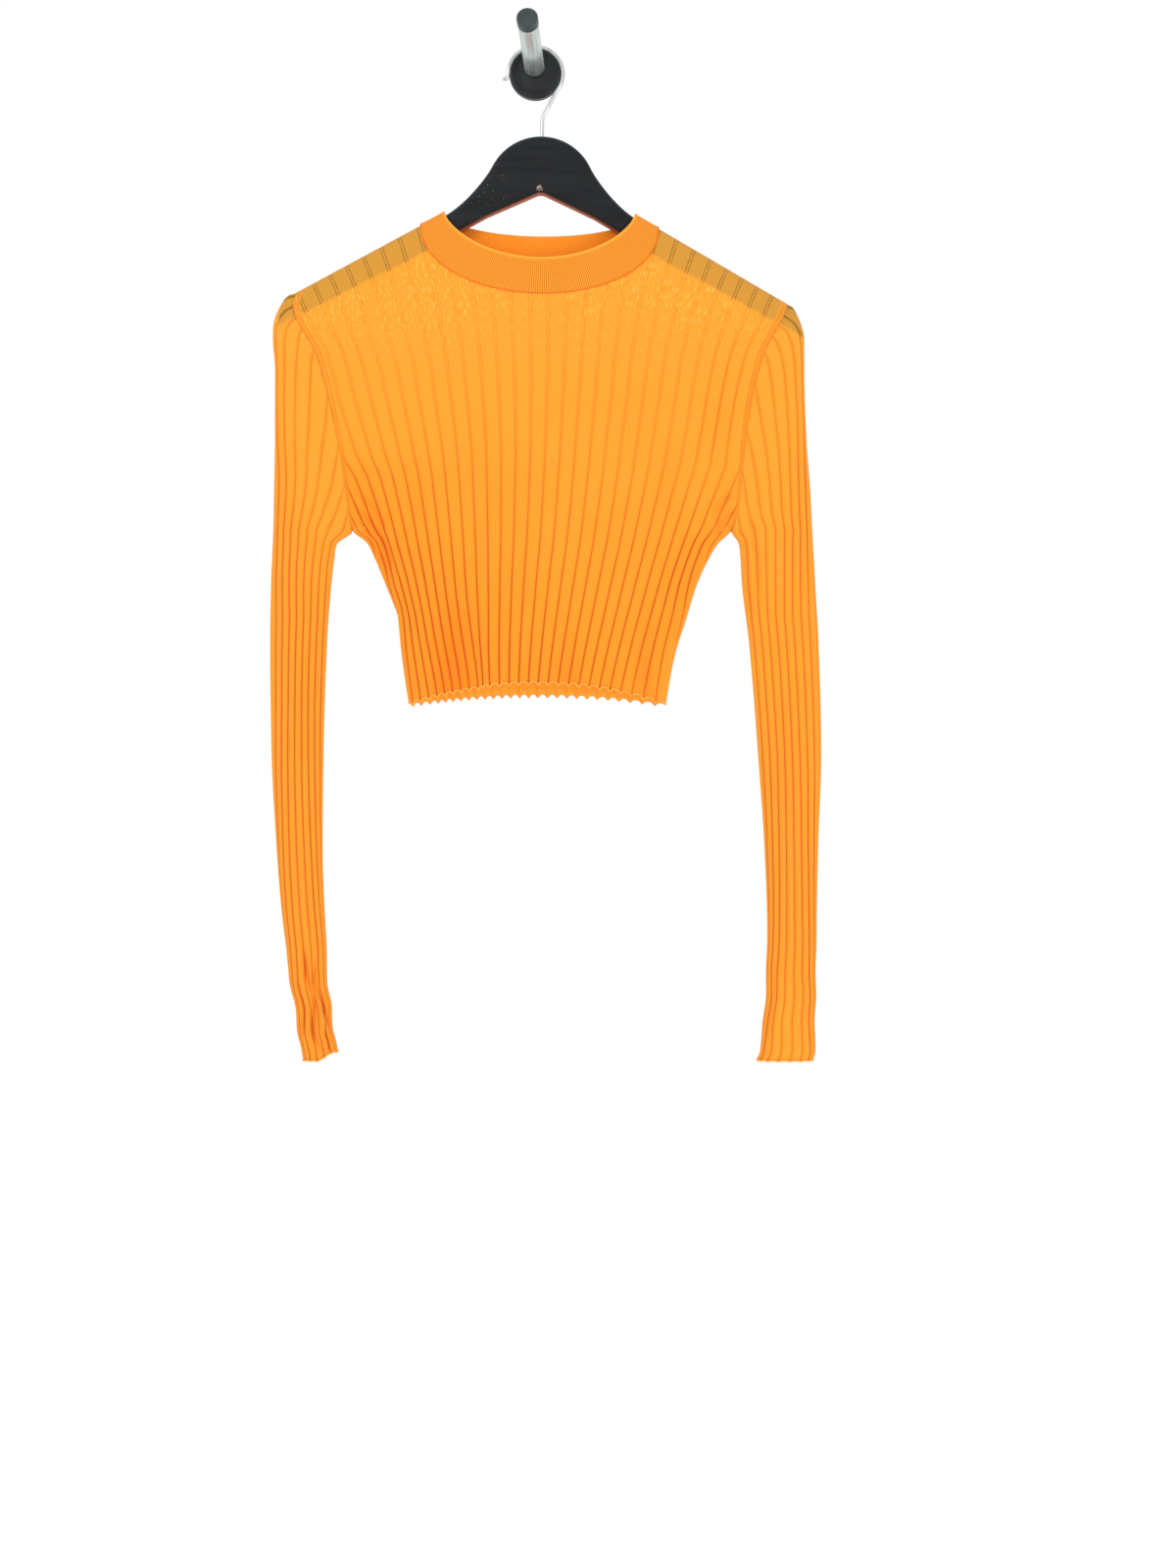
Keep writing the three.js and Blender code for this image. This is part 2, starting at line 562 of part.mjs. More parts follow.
const group = new THREE.Group();

const sweater = new THREE.Group();
const leftSleeve = wall(sleeveGrid(LEFT_SLEEVE, -1), WALL, { ring: true });
const rightSleeve = wall(sleeveGrid(RIGHT_SLEEVE, 1), WALL, { ring: true, turned: true });
sweater.add(named("front", wall(bodyGrid(-1), WALL, { turned: true }), knit));
sweater.add(named("back", wall(bodyGrid(1), WALL), knit));
sweater.add(named("sleeve_left", leftSleeve, knit));
sweater.add(named("sleeve_right", rightSleeve, knit));
sweater.add(named("neckband", wall(bandGrid(), BAND_WALL, { ring: true }), bandKnit));

const hanger = new THREE.Group();
hanger.position.set(HANGER.apex.x, HANG_PLANE, HANGER.apex.z);
hanger.rotation.y = HANGER.roll;
hanger.add(named("hanger_body", hangerBody(), blackPaint));
hanger.add(named("hanger_hook", welded(hangerHook()), chrome));

const peg = new THREE.Group();
peg.add(named("peg_plate", welded(pegPlate()), blackPlastic));
peg.add(named("peg_rod", pegRod(), chrome));
peg.add(named("peg_cap", welded(pegCap()), blackPlastic));

group.add(sweater, hanger, peg);

export default group;
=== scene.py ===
# %% [markdown]
# # A wide-ribbed knit sweater on a hanger
# A cropped sweater, knitted in one wide rib from hem to shoulder, hangs on a flat wooden hanger. The
# hanger's wire hook sits on a chrome peg that is screwed to a wall. This lesson builds every visible
# piece as a mesh made from sums, because a rib is a shape that repeats, and sums repeat exactly. The
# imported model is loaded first, and it fixes where everything is. Lengths are written in millimetres
# and scaled once, when a mesh is made.

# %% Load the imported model
import math

import bmesh
import bpy
import numpy as np
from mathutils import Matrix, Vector


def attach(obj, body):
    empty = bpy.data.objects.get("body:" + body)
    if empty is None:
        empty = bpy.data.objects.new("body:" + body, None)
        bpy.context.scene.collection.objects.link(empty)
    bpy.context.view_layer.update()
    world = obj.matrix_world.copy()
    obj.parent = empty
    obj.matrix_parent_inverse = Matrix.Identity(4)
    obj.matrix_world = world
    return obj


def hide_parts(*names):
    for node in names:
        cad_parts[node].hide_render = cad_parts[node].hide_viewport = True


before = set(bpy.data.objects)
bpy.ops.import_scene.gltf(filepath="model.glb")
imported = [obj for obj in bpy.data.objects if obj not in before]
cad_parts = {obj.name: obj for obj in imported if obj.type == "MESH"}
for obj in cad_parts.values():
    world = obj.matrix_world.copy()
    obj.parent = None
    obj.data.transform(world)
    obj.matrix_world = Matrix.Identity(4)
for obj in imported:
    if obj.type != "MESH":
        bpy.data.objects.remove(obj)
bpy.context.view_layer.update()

MM = 0.001

# %% [markdown]
# ## Smooth tables
# A pattern cutter writes a garment down as widths at a few heights. Straight lines between those
# heights would leave corners in the cloth, and a plain spline would swing past the numbers. A monotone
# cubic does neither: at each number its slope is a mean of the slopes on either side, and where they
# disagree in sign it is flat.

# %% A smooth curve through a table's numbers
class Track:
    def __init__(self, at, values):
        order = np.argsort(at)
        self.at = np.asarray(at, float)[order]
        self.values = np.asarray(values, float)[order]
        gap = np.diff(self.at)
        rise = np.diff(self.values) / gap
        slope = np.zeros(len(order))
        slope[0], slope[-1] = rise[0], rise[-1]
        same = rise[:-1] * rise[1:] > 0
        left, right = 2 * gap[1:] + gap[:-1], gap[1:] + 2 * gap[:-1]
        safe = np.where(same, rise[:-1], 1), np.where(same, rise[1:], 1)
        slope[1:-1] = np.where(same, (left + right) / (left / safe[0] + right / safe[1]), 0)
        self.slope = slope

    def __call__(self, where):
        where = np.clip(where, self.at[0], self.at[-1])
        i = np.clip(np.searchsorted(self.at, where, side="right") - 1, 0, len(self.at) - 2)
        gap = self.at[i + 1] - self.at[i]
        t = (where - self.at[i]) / gap
        return ((1 + 2 * t) * (1 - t) ** 2 * self.values[i] + t * (1 - t) ** 2 * gap * self.slope[i]
                + t * t * (3 - 2 * t) * self.values[i + 1] - t * t * (1 - t) * gap * self.slope[i + 1])


def tracks(rows, *columns):
    """One Track for each named column of a table whose first number is the height."""
    table = np.array(rows, float)
    return {name: Track(table[:, 0], table[:, k + 1]) for k, name in enumerate(columns)}


def mix(a, b, t):
    return a + (b - a) * t


def smooth(t):
    t = np.clip(t, 0, 1)
    return t * t * (3 - 2 * t)


def unit(vectors):
    return vectors / np.maximum(np.linalg.norm(vectors, axis=-1, keepdims=True), 1e-9)


def travelled(line):
    """The distance along a line at each of its points."""
    return np.concatenate([[0], np.cumsum(np.linalg.norm(np.diff(line, axis=0), axis=1))])


def laid_at(line, at):
    """Points of a line at given distances along it."""
    length = travelled(line)
    return np.stack([np.interp(at, length, column) for column in line.T], -1)


def turned_by(a, b, angle):
    """Two coordinates after a turn in their own plane."""
    return a * math.cos(angle) - b * math.sin(angle), a * math.sin(angle) + b * math.cos(angle)


# %% [markdown]
# ## The line of the shoulders
# The sweater hangs from the hanger's two straight arms, so its shoulder line is two straight slopes
# that meet under the neck. The cloth turns over the wood in a small round. Both are written as sums
# here, so that the panels, the sleeves and the neckband all agree on them.

# %% The shoulder line and how the cloth turns over it
HANG_PLANE = -21.0
APEX_X, APEX_Z = 5.8, -57.5
ROLL = math.radians(1.0)
ARM_SLOPE, ARM_TOP, ARM_HEIGHT = 0.561, 22.4, 19.8
LIFT = 2.9
TURN = 9.0
ARMPIT, ARMPIT_EASE = -379.5, 32.0


def shoulder_line(x):
    side = np.where(x < APEX_X, -1.0, 1.0)
    top = ARM_TOP - LIFT
    out = (x - APEX_X + top * math.sin(ROLL)) / (math.cos(ROLL) - side * ARM_SLOPE * math.sin(ROLL))
    return APEX_Z - out * math.sin(ROLL) - (top + ARM_SLOPE * np.abs(out)) * math.cos(ROLL)


def crest(x, z):
    """1 on the shoulder line, falling to 0 where the cloth hangs straight."""
    return 1 - np.clip((shoulder_line(x) - z) / TURN, 0, 1)


def flat(x, z):
    return np.sqrt(1 - crest(x, z) ** 2)


def pinched(z):
    """1 at the armpit and below, where front and back meet at the side, and 0 well above it."""
    return 1 - np.sqrt(1 - (1 - np.clip((z - ARMPIT) / ARMPIT_EASE, 0, 1)) ** 2)


def over_shoulder(x, z, face):
    """The cloth's direction outwards, before its own bulge is counted."""
    side = np.sign(x - APEX_X)
    slope = math.atan(ARM_SLOPE) + side * ROLL
    c = crest(x, z)
    return np.stack([side * np.sin(slope) * c, face * np.sqrt(1 - c * c), np.cos(slope) * c], -1)


print("shoulder line at the neck and the points",
      [round(float(shoulder_line(np.float64(x))), 1) for x in (-93, 101, -194.7, 206)])

# %% [markdown]
# ## The body's form
# Hung flat, a sweater is two panels that lie close together, a few centimetres apart at the chest and
# joined at the side folds. The first table gives each height's two edges, and how far the front and
# back stand off the hanger's middle. The second says where the ribs run: knitted ribs are even when
# relaxed, but the hanger spreads the shoulders, so their pitch doubles on the way up.

# %% Tables of the body
BODY = tracks([
    (-186.6, -194.7, 208.0, 10.5, 9.8), (-196.0, -196.8, 206.0, 11.0, 10.0),
    (-238.0, -177.3, 185.6, 13.0, 11.5), (-282.0, -165.2, 174.8, 15.0, 12.5),
    (-330.0, -155.5, 168.6, 16.0, 13.0), (-362.0, -152.0, 165.6, 16.0, 13.0),
    (ARMPIT, -149.0, 160.5, 16.0, 13.0), (-390.0, -137.0, 150.0, 15.8, 13.0),
    (-405.0, -130.0, 141.0, 15.5, 12.8), (-426.0, -121.2, 131.8, 15.0, 12.5),
    (-450.0, -112.6, 124.4, 14.5, 12.0), (-480.0, -109.2, 115.0, 14.0, 11.8),
    (-521.0, -103.5, 107.0, 13.5, 11.5)], "left", "right", "front", "back")
RIBS = tracks([
    (-130.0, 3.90, 18.00, -0.0200, 0.0012), (-160.0, 3.90, 16.50, -0.0200, 0.0012),
    (-187.0, 3.90, 15.30, -0.0200, 0.0012), (-220.9, 3.78, 14.19, -0.0204, 0.0012),
    (-244.6, 3.93, 13.54, -0.0110, 0.0008), (-268.4, 3.75, 13.08, -0.0032, 0.0002),
    (-292.1, 3.19, 12.55, 0.0126, 0.0009), (-315.8, 2.74, 12.03, 0.0245, 0.0011),
    (-339.5, 1.64, 11.67, 0.0401, -0.0015), (-387.0, -0.73, 10.79, 0.0436, -0.0042),
    (-418.6, -3.30, 10.08, 0.0560, -0.0049), (-450.3, -5.60, 9.28, 0.0642, -0.0041),
    (-466.1, -6.67, 8.84, 0.0654, -0.0030), (-497.7, -8.39, 7.92, 0.0723, -0.0004),
    (-521.0, -9.60, 7.25, 0.0770, 0.0015)], "middle", "pitch", "skew", "pull")
SHOULDER_LEFT, SHOULDER_RIGHT = -194.7, 206.0


def edges(z):
    """The body's left and right edges: armhole seams above the armpit, side folds below it."""
    left = np.where(z > shoulder_line(SHOULDER_LEFT), SHOULDER_LEFT, BODY["left"](z))
    right = np.where(z > shoulder_line(SHOULDER_RIGHT), SHOULDER_RIGHT, BODY["right"](z))
    return left, right


def rib_place(rib, z):
    """How far across the body a rib lies at a height, before the side folds squeeze it."""
    return RIBS["middle"](z) + rib * (RIBS["pitch"](z) + rib * (RIBS["skew"](z)
                                                                + rib * RIBS["pull"](z)))


# %% [markdown]
# The depth of each panel is a full round at the side folds and nearly level at the armhole seams. Soft
# waves run up from the hem, where nothing holds the cloth. They are listed in a short table,
# no two of them alike, and the back has its own.

# %% How far a panel stands off the middle of the hanger
WAVES = {-1: [(-94, 8, 1.6, -440), (-67, 17, -4.2, -405), (-38, 8, 1.4, -460), (28, 9, -2.6, -440),
              (57, 14, 1.6, -430), (90, 8, -2.6, -425), (104, 5, 1.2, -450)],
         1: [(-60, 16, -2.8, -430), (-8, 20, 1.8, -450), (54, 14, -3.2, -420), (90, 9, 1.2, -440)]}
WAVE_FADE = 90.0
ROUND = 2.4
SEAM_SHARE = 0.85
FORM_EASE, EDGE_SHARE = 110.0, 0.16


def waves(x, z, face):
    return sum(depth * np.exp(-((x - at) / width) ** 2) * smooth((top - z) / WAVE_FADE)
               for at, width, depth, top in WAVES[face])


def body_depth(across, x, z, face):
    """The still form, and the waves on it. At the edge itself the armpit closes suddenly, but away
    from the edge the cloth takes a hand's width to change from one section to the other."""
    full = BODY["front" if face < 0 else "back"](z)
    a = np.clip(np.abs(across), 0, 1)
    form = []
    for shut in (pinched(z), 1 - smooth((z - ARMPIT) / FORM_EASE)):
        bow = mix(1 - a ** 8, (1 - a ** ROUND) ** (1 / ROUND), shut)
        seam = full * SEAM_SHARE * (1 - shut)
        form.append(seam + (full - seam) * bow)
    return mix(*form, smooth((1 - a) / EDGE_SHARE)), waves(x, z, face) * bow


def body_point(x, z, face):
    """A point of a panel's skin and the direction outwards there."""
    def depth(x, z):
        left, right = edges(z)
        still, wave = body_depth(2 * (x - left) / (right - left) - 1, x, z, face)
        return still + wave

    step = 0.5
    out = over_shoulder(x, z, face)
    level = flat(x, z)
    out[..., 0] -= level * (depth(x + step, z) - depth(x - step, z)) / (2 * step)
    out[..., 2] -= level * (depth(x, z + step) - depth(x, z - step)) / (2 * step)
    return np.stack([x, HANG_PLANE + face * depth(x, z) * level, z], -1), unit(out)


# %% [markdown]
# ## Where the neckband is sewn
# The neckline is a curve in each panel, square-shouldered at the sides and low at the front. It is
# given by half its width and its drop at the seam, and again at the band's top edge. The power says how
# square the curve is.

# %% The neckline
NECK_X = 4.0
NECK_HALF = (97.0, 78.0)
NECK_DROP = {-1: ((56.0, 0.9), (37.0, 1.3)), 1: ((34.0, 1.0), (16.0, 1.2))}


def neckline(turn, face, edge):
    """A point of the neckline: turn runs from -1 on the left to 1 on the right, edge 0 is the seam."""
    half = NECK_HALF[edge]
    drop, power = NECK_DROP[face][edge]
    angle = turn * math.pi / 2
    x = NECK_X + half * np.sin(angle)
    ends = [float(shoulder_line(np.float64(NECK_X + s * half))) for s in (-1, 1)]
    return x, mix(ends[0], ends[1], (1 + np.sin(angle)) / 2) - drop * np.clip(np.cos(angle), 0, 1) ** power


TUCKED = 2.2


def panel_top(x, face):
    """The highest the panel reaches at each place across: a little way inside the band."""
    place = (x - NECK_X) / (NECK_HALF[0] - TUCKED)
    angle = np.arcsin(np.clip(place, -1, 1))
    top = neckline(angle * 2 / math.pi, face, 0)[1] + TUCKED * np.cos(angle)
    return np.where(np.abs(place) < 1, np.minimum(top, shoulder_line(x)), shoulder_line(x))


# %% [markdown]
# ## The ribs at the edges
# Ribs meet the armhole one after another on the way down, and below the armpit the outermost ones pass
# round the side fold to the back. So each height has a rib number at either edge, which grows down to
# the armpit and shrinks again below it. Near an edge the ribs are eased sideways, so that the one with
# that number lies exactly on the edge.

# %% The rib number at either edge
LADDER = np.arange(-120.0, -530.0, -0.25)
FOLD_RIBS = {-1: Track([ARMPIT, -426, -450, -480, -530], [-16.2, -15.0, -14.5, -14.2, -14.0]),
             1: Track([ARMPIT, -426, -450, -480, -530], [15.15, 14.3, 13.9, 13.6, 13.3])}
EASED_FROM = 0.72


def edge_ladder(side):
    """The rib number at one edge, for every height of the ladder."""
    ribs = np.arange(-20, 20.01, 0.05)
    edge = edges(LADDER)[0 if side < 0 else 1]
    at_edge = np.array([np.interp(x, rib_place(ribs, z), ribs) for x, z in zip(edge, LADDER)])
    point = float(shoulder_line(SHOULDER_LEFT if side < 0 else SHOULDER_RIGHT))
    seam = (LADDER <= point) & (LADDER >= ARMPIT)
    at_edge[seam] = side * np.maximum.accumulate(side * at_edge[seam])
    fold = LADDER < ARMPIT
    at_edge[fold] = FOLD_RIBS[side](LADDER[fold])
    return at_edge


edge_ladders = {side: edge_ladder(side) for side in (-1, 1)}
for side, at_edge in edge_ladders.items():
    print("rib at the edge", [(z, round(float(np.interp(-z, -LADDER, at_edge)), 2))
                              for z in (-186, -195, -210, -240, -300, -350, -379, -380, -400, -520)])


def edge_rib(side, z):
    return np.interp(-np.asarray(z, float), -LADDER, edge_ladders[side])


def rib_at(rib, z):
    """How far across a rib lies, with the ribs near the edges eased on to them."""
    rib = np.asarray(rib, float)
    x = rib_place(rib, z)
    for side, edge in zip((-1, 1), edges(z)):
        last = edge_rib(side, z)
        share = np.clip(rib / last, 0, 1)
        x = x + (edge - rib_place(last, z)) * smooth((share - EASED_FROM) / (1 - EASED_FROM))
    return x


# %% [markdown]
# ## Columns of stitches
# A knitter works up the columns of a rib, and the mesh follows them, so each column keeps its place on
# a rib from hem to seam. Eight columns share a rib, crowded round its furrow. Each is followed up from
# the armpit's height to the shoulder or the neckline. One more column lies along either edge, and where
# a rib would be beyond the edge its column lies on that one.

# %% Lay the columns of a body panel
PHASES = np.array([0, 0.23, 0.38, 0.445, 0.5, 0.555, 0.62, 0.77])
NEAR_TOP = np.array([0, 0.25, 0.8, 1.7, 3.0, 4.6, 6.6, 9.0])
BODY_ROWS = 150
HEM_SIDE = -521.0
HEM_RISE = {-1: 17.0, 1: 8.0}
BEYOND = 40.0


def hem_line(x, face):
    left, right = edges(np.full_like(x, HEM_SIDE))
    across = np.clip(2 * (x - left) / (right - left) - 1, -1, 1)
    return HEM_SIDE + HEM_RISE[face] * (1 - across ** 2)


def kept_inside(rib, z):
    return np.clip(rib, edge_rib(-1, z), edge_rib(1, z))


def column_top(rib, face):
    up = LADDER[LADDER > ARMPIT][::-1]
    under = up <= panel_top(rib_at(kept_inside(rib, up), up), face)
    return up[max(np.argmin(np.append(under, False)) - 1, 0)]


def every_rib(lowest, highest):
    """Rib numbers of the columns between two limits, and one beyond each."""
    whole = np.arange(math.floor(lowest), math.ceil(highest) + 1)
    ribs = (whole[:, None] + PHASES[None, :]).ravel()
    ribs = ribs[(ribs > lowest) & (ribs < highest)]
    return np.concatenate([[-BEYOND], ribs, [BEYOND]])


body_ribs = every_rib(edge_ladders[-1].min(), edge_ladders[1].max())
body_tops = {face: np.array([column_top(rib, face) for rib in body_ribs]) for face in (-1, 1)}
print(len(body_ribs), "columns in a panel, ribs", body_ribs[1], "to", body_ribs[-2])

# %% [markdown]
# ## Creases
# Where a sleeve pulls at the armpit, or a cuff has been pushed up, cloth folds into soft troughs and
# ridges. Each is laid along a few points across and up the garment, with its own width and
# depth, and dies away at its ends. A trough pushes the skin in along its own direction outwards.

# %% Press a crease into a grid of points
CREASE_FADE = 0.25


def crease(points, line, width, depth):
    """How far each point moves out for a soft trough (negative depth) or ridge along a line."""
    line = np.array(line, float)
    x, z = points[..., 0], points[..., 2]
    along = travelled(line)
    best = np.full(x.shape, 1e9)
    share = np.zeros(x.shape)
    for k, length in enumerate(np.diff(along)):
        (ax, az), (bx, bz) = line[k], line[k + 1]
        t = np.clip(((x - ax) * (bx - ax) + (z - az) * (bz - az)) / length ** 2, 0, 1)
        away = np.hypot(x - mix(ax, bx, t), z - mix(az, bz, t))
        closer = away < best
        best = np.where(closer, away, best)
        share = np.where(closer, (along[k] + t * length) / along[-1], share)
    taper = smooth(share / CREASE_FADE) * smooth((1 - share) / CREASE_FADE)
    return depth * np.exp(-(best / width) ** 2) * taper


# %% [markdown]
# ## From a grid to a knitted wall
# Knitted cloth has two faces about a millimetre apart, and the ribs show on both. The same grid is used
# twice, once for the outside and once a stitch's thickness inside it, and joined round its edges. Each
# point also carries numbers for the finish: its rib, its distance down the column, the local pitch, how
# far the knit is stretched, how deep a crease or wave presses in, for painted shade there, and how much
# painted shade the hanger's arm behind gives, where it blocks the light that comes through the knit.

# %% Make a mesh from grids of points
def linked(name, data):
    made = bpy.data.objects.new(name, data)
    bpy.context.scene.collection.objects.link(made)
    return made


def carry(mesh, key, values):
    """Gives each point of a mesh a number that its finish can read."""
    values = np.asarray(values, np.float32).ravel()
    mesh.attributes.new(key, "FLOAT", "POINT").data.foreach_set("value", values)


def as_object(name, points, faces, numbers):
    mesh = bpy.data.meshes.new(name)
    mesh.from_pydata((np.asarray(points).reshape(-1, 3) * MM).tolist(), [], faces)
    for key, values in numbers.items():
        carry(mesh, key, values)
    mesh.polygons.foreach_set("use_smooth", [True] * len(mesh.polygons))
    mesh.update()
    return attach(linked(name, mesh), "root")


def grid_faces(across, down, start, flip):
    """The faces of an open sheet of (across, down) points."""
    a = start + np.arange(across - 1)[:, None] * down + np.arange(down - 1)[None, :]
    corners = [a, a + 1, a + down + 1, a + down]
    if flip:
        corners.reverse()
    return np.stack(corners, -1).reshape(-1, 4)


def ring_faces(rings, sides, looped, flip=False):
    """The faces between closed rings of points. Looped joins the last ring to the first."""
    i, j = np.arange(rings if looped else rings - 1)[:, None], np.arange(sides)[None, :]
    a, b, k = i * sides, (i + 1) % rings * sides, (j + 1) % sides
    corners = [a + j, a + k, b + k, b + j] if flip else [a + j, b + j, b + k, a + k]
    return np.stack(np.broadcast_arrays(*corners), -1).reshape(-1, 4).tolist()


def shell(name, outer, inner, numbers, on_edge, starts, joined=None, flip=False):
    """A closed wall from an outer and an inner grid of (columns, rows) points.
    on_edge is -1 where a column lies on the first one, 1 where on the last. A column's rows before its
    start are all its first point. Where joined is given, row 0 is one point, and from row joined on the
    first and last columns are one."""
    across, down = outer.shape[:2]
    inside = across * down
    row = np.clip(np.arange(down)[None, :], starts[:, None], down - 1)
    lies_on = np.take_along_axis(on_edge, row, 1)
    column = np.where(lies_on < 0, 0, np.where(lies_on > 0, across - 1, np.arange(across)[:, None]))
    if joined is not None:
        column = np.where((column == across - 1) & (row >= joined) | (row == 0), 0, column)
    kept = (column * down + row).ravel()
    kept = np.concatenate([kept, kept + inside])
    faces = [grid_faces(across, down, 0, flip), grid_faces(across, down, inside, not flip)]
    i, j = np.arange(across - 1) * down, np.arange(down - 1 if joined is None else joined)
    last = (across - 1) * down
    rims = [np.stack([i, i + down, inside + i + down, inside + i], -1),
            np.stack([i, inside + i, inside + i + down, i + down], -1) + down - 1,
            np.stack([j, inside + j, inside + j + 1, j + 1], -1),
            last + np.stack([j, j + 1, inside + j + 1, inside + j], -1)]
    faces += [rim[:, ::-1] if flip else rim for rim in rims]
    both = {key: np.concatenate([value.ravel(), value.ravel()]) for key, value in numbers.items()}
    both["inside"] = np.repeat([0.0, 1.0], inside)
    used, faces = np.unique(kept[np.concatenate(faces)], return_inverse=True)
    whole = [list(dict.fromkeys(face)) for face in faces.reshape(-1, 4).tolist()]
    points = np.concatenate([outer.reshape(-1, 3), inner.reshape(-1, 3)])[used]
    return as_object(name, points, [face for face in whole if len(face) > 2],
                     {key: value[used] for key, value in both.items()})


# %% [markdown]
# ## The relief of a wide rib
# Each rib is a flat-topped cord, and between two ribs is a narrow furrow. Where the knit is relaxed the
# furrow is deep and almost closed. Where it is stretched the furrow pulls open into a shallow flat
# channel with two fine edges. One number, how far the pitch is beyond its relaxed size, blends the two.

# %% The height of the ribs
RELAXED_BODY, RELAXED_SLEEVE = 8.0, 5.4
KNIT = 1.0


def stretch(pitch, relaxed):
    return np.clip((pitch / relaxed - 1) / 0.9, 0, 1)


def rib_relief(rib, pitch, opened, deep, shallow):
    """How far the skin stands below the top of the ribs, as a negative number of millimetres."""
    away = np.abs(rib - np.round(rib - 0.5) - 0.5) * pitch
    start, end = mix(0.0, 0.7, opened), mix(np.minimum(1.25, 0.2 * pitch), 1.9, opened)
    furrow = 1 - smooth((away - start) / (end - start))
    crown = mix(0.3, 0.0, opened) * (1 - np.clip(1 - 2 * away / pitch, 0, 1) ** 2)
    return crown - mix(deep, shallow, opened ** 0.8) * np.minimum(1, pitch / 5.5) * furrow


def two_faces(points, out, lift, facing, apart):
    """The wall's outer and inner points, held on their own side of the hanger's plane."""
    outer = points + out * lift[..., None]
    inner = outer - out * KNIT
    for layer in (outer, inner):
        layer[..., 1] = HANG_PLANE + facing * np.maximum(facing * (layer[..., 1] - HANG_PLANE), apart)
    return outer, inner


# The mask of the painted shade, olive, where the hanger's arm blocks the light that comes through the
# knit.
def hanger_shade_behind(x, z):
    """Painted shade where the hanger's arm lies right behind the cloth and blocks light through it: 1
    there, fading over its edges.
    """
    down = shoulder_line(x) - z
    reach = np.abs(x - APEX_X)
    foot = mix(26.5, 22.0, np.clip((reach - 90) / 115, 0, 1))
    ends = 1 - smooth((reach - 213 + np.maximum(4 - down, 0)) / 3)
    return smooth((down + 1) / 2.5) * (1 - smooth((down - foot + 1.2) / 2.4)) * ends


# %% [markdown]
# ## Front and back
# Now the two panels. The skin from the tables is the tops of the ribs. The relief and the creases move
# it along its own direction outwards, and the wall's inner face follows a millimetre inside. The hem is
# knitted with extra stitches, so it ruffles: it dips to a little point under every furrow.

# %% Creases of the body, for the front and, near enough, for the back
BODY_CREASES = {
    -1: [([(-140, -352), (-130, -363), (-123, -378), (-121, -383)], 3.2, -2.2),
         ([(-147, -361), (-136, -370), (-125, -388), (-119, -400), (-114, -417)], 3.4, -3.0),
         ([(-149, -372), (-139, -377), (-133, -391), (-124, -405), (-115, -424)], 2.6, -2.4),
         ([(-117, -375), (-114, -397), (-113, -419), (-110.5, -437)], 3.0, 1.6),
         ([(161, -348), (150, -362), (145, -372)], 3.0, -2.0),
         ([(164, -364), (158, -369), (151, -374), (147, -378)], 2.6, -2.4),
         ([(162, -378), (156, -377), (150, -380), (151, -386)], 2.6, -2.6),
         ([(133, -414), (125, -440), (122, -452)], 2.6, 1.4),
         ([(118, -300), (105, -340), (100, -372)], 9, -0.9),
         ([(-104, -310), (-96, -352), (-92, -380)], 9, -0.8)],
    1: [([(-142, -350), (-130, -366), (-122, -384)], 3.4, -2.4),
        ([(-149, -368), (-137, -378), (-127, -394), (-116, -420)], 3.0, -2.8),
        ([(-116, -380), (-112, -404), (-110, -432)], 3.2, 1.5),
        ([(159, -350), (149, -364), (143, -380)], 3.2, -2.2),
        ([(161, -368), (152, -376), (143, -392), (134, -412)], 2.8, -2.6),
        ([(-30, -300), (-34, -350), (-30, -390)], 10, -0.9),
        ([(60, -290), (70, -340), (68, -380)], 11, -0.8)],
}
HEM_DIP, HEM_FLARE = 3.1, 1.1
SEAM_FLAT, STRIP = 5.0, 5.0
PLEAT_RIB, PLEAT_TOP = -4.5, -430.0
BODY_FURROWS = (1.9, 0.28)  # depth of a furrow in relaxed and in stretched knit
SNAP = 0.6  # a column that stops this near the shoulder line goes right up to it
FOLD_TURN = 0.8  # how near the side fold the skin faces sideways

# %% Knit the two panels
def rows_between(highest, lowest, count):
    """Heights down each column, crowded at the top where the cloth turns over the hanger."""
    share = np.arange(1, count + 1) / count
    lower = highest[:, None] - NEAR_TOP[-1]
    return np.concatenate([highest[:, None] - NEAR_TOP, lower + (lowest[:, None] - lower) * share], 1)


def cut_off(z, tops):
    """Rows cut to each column's own top, and the first row that is still its own."""
    starts = np.maximum((z > tops[:, None] + 1e-6).sum(1) - 1, 0)
    return np.minimum(z, tops[:, None]), starts


def scallop(rib):
    """0 in the middle of a rib and 1 at the little point under each furrow."""
    return (2 * np.abs(rib - np.round(rib))) ** 2.6


def pleat(rib, z):
    """How far ribs are drawn sideways into the one pleat of the front hem."""
    pulled = np.where(rib < PLEAT_RIB, 3.3 * np.exp((rib - PLEAT_RIB) / 4.5),
                      -2.8 * np.exp((PLEAT_RIB - rib) / 1.8))
    return pulled * smooth((PLEAT_TOP - z) / 70) * smooth(np.abs(rib - PLEAT_RIB) / 0.9)


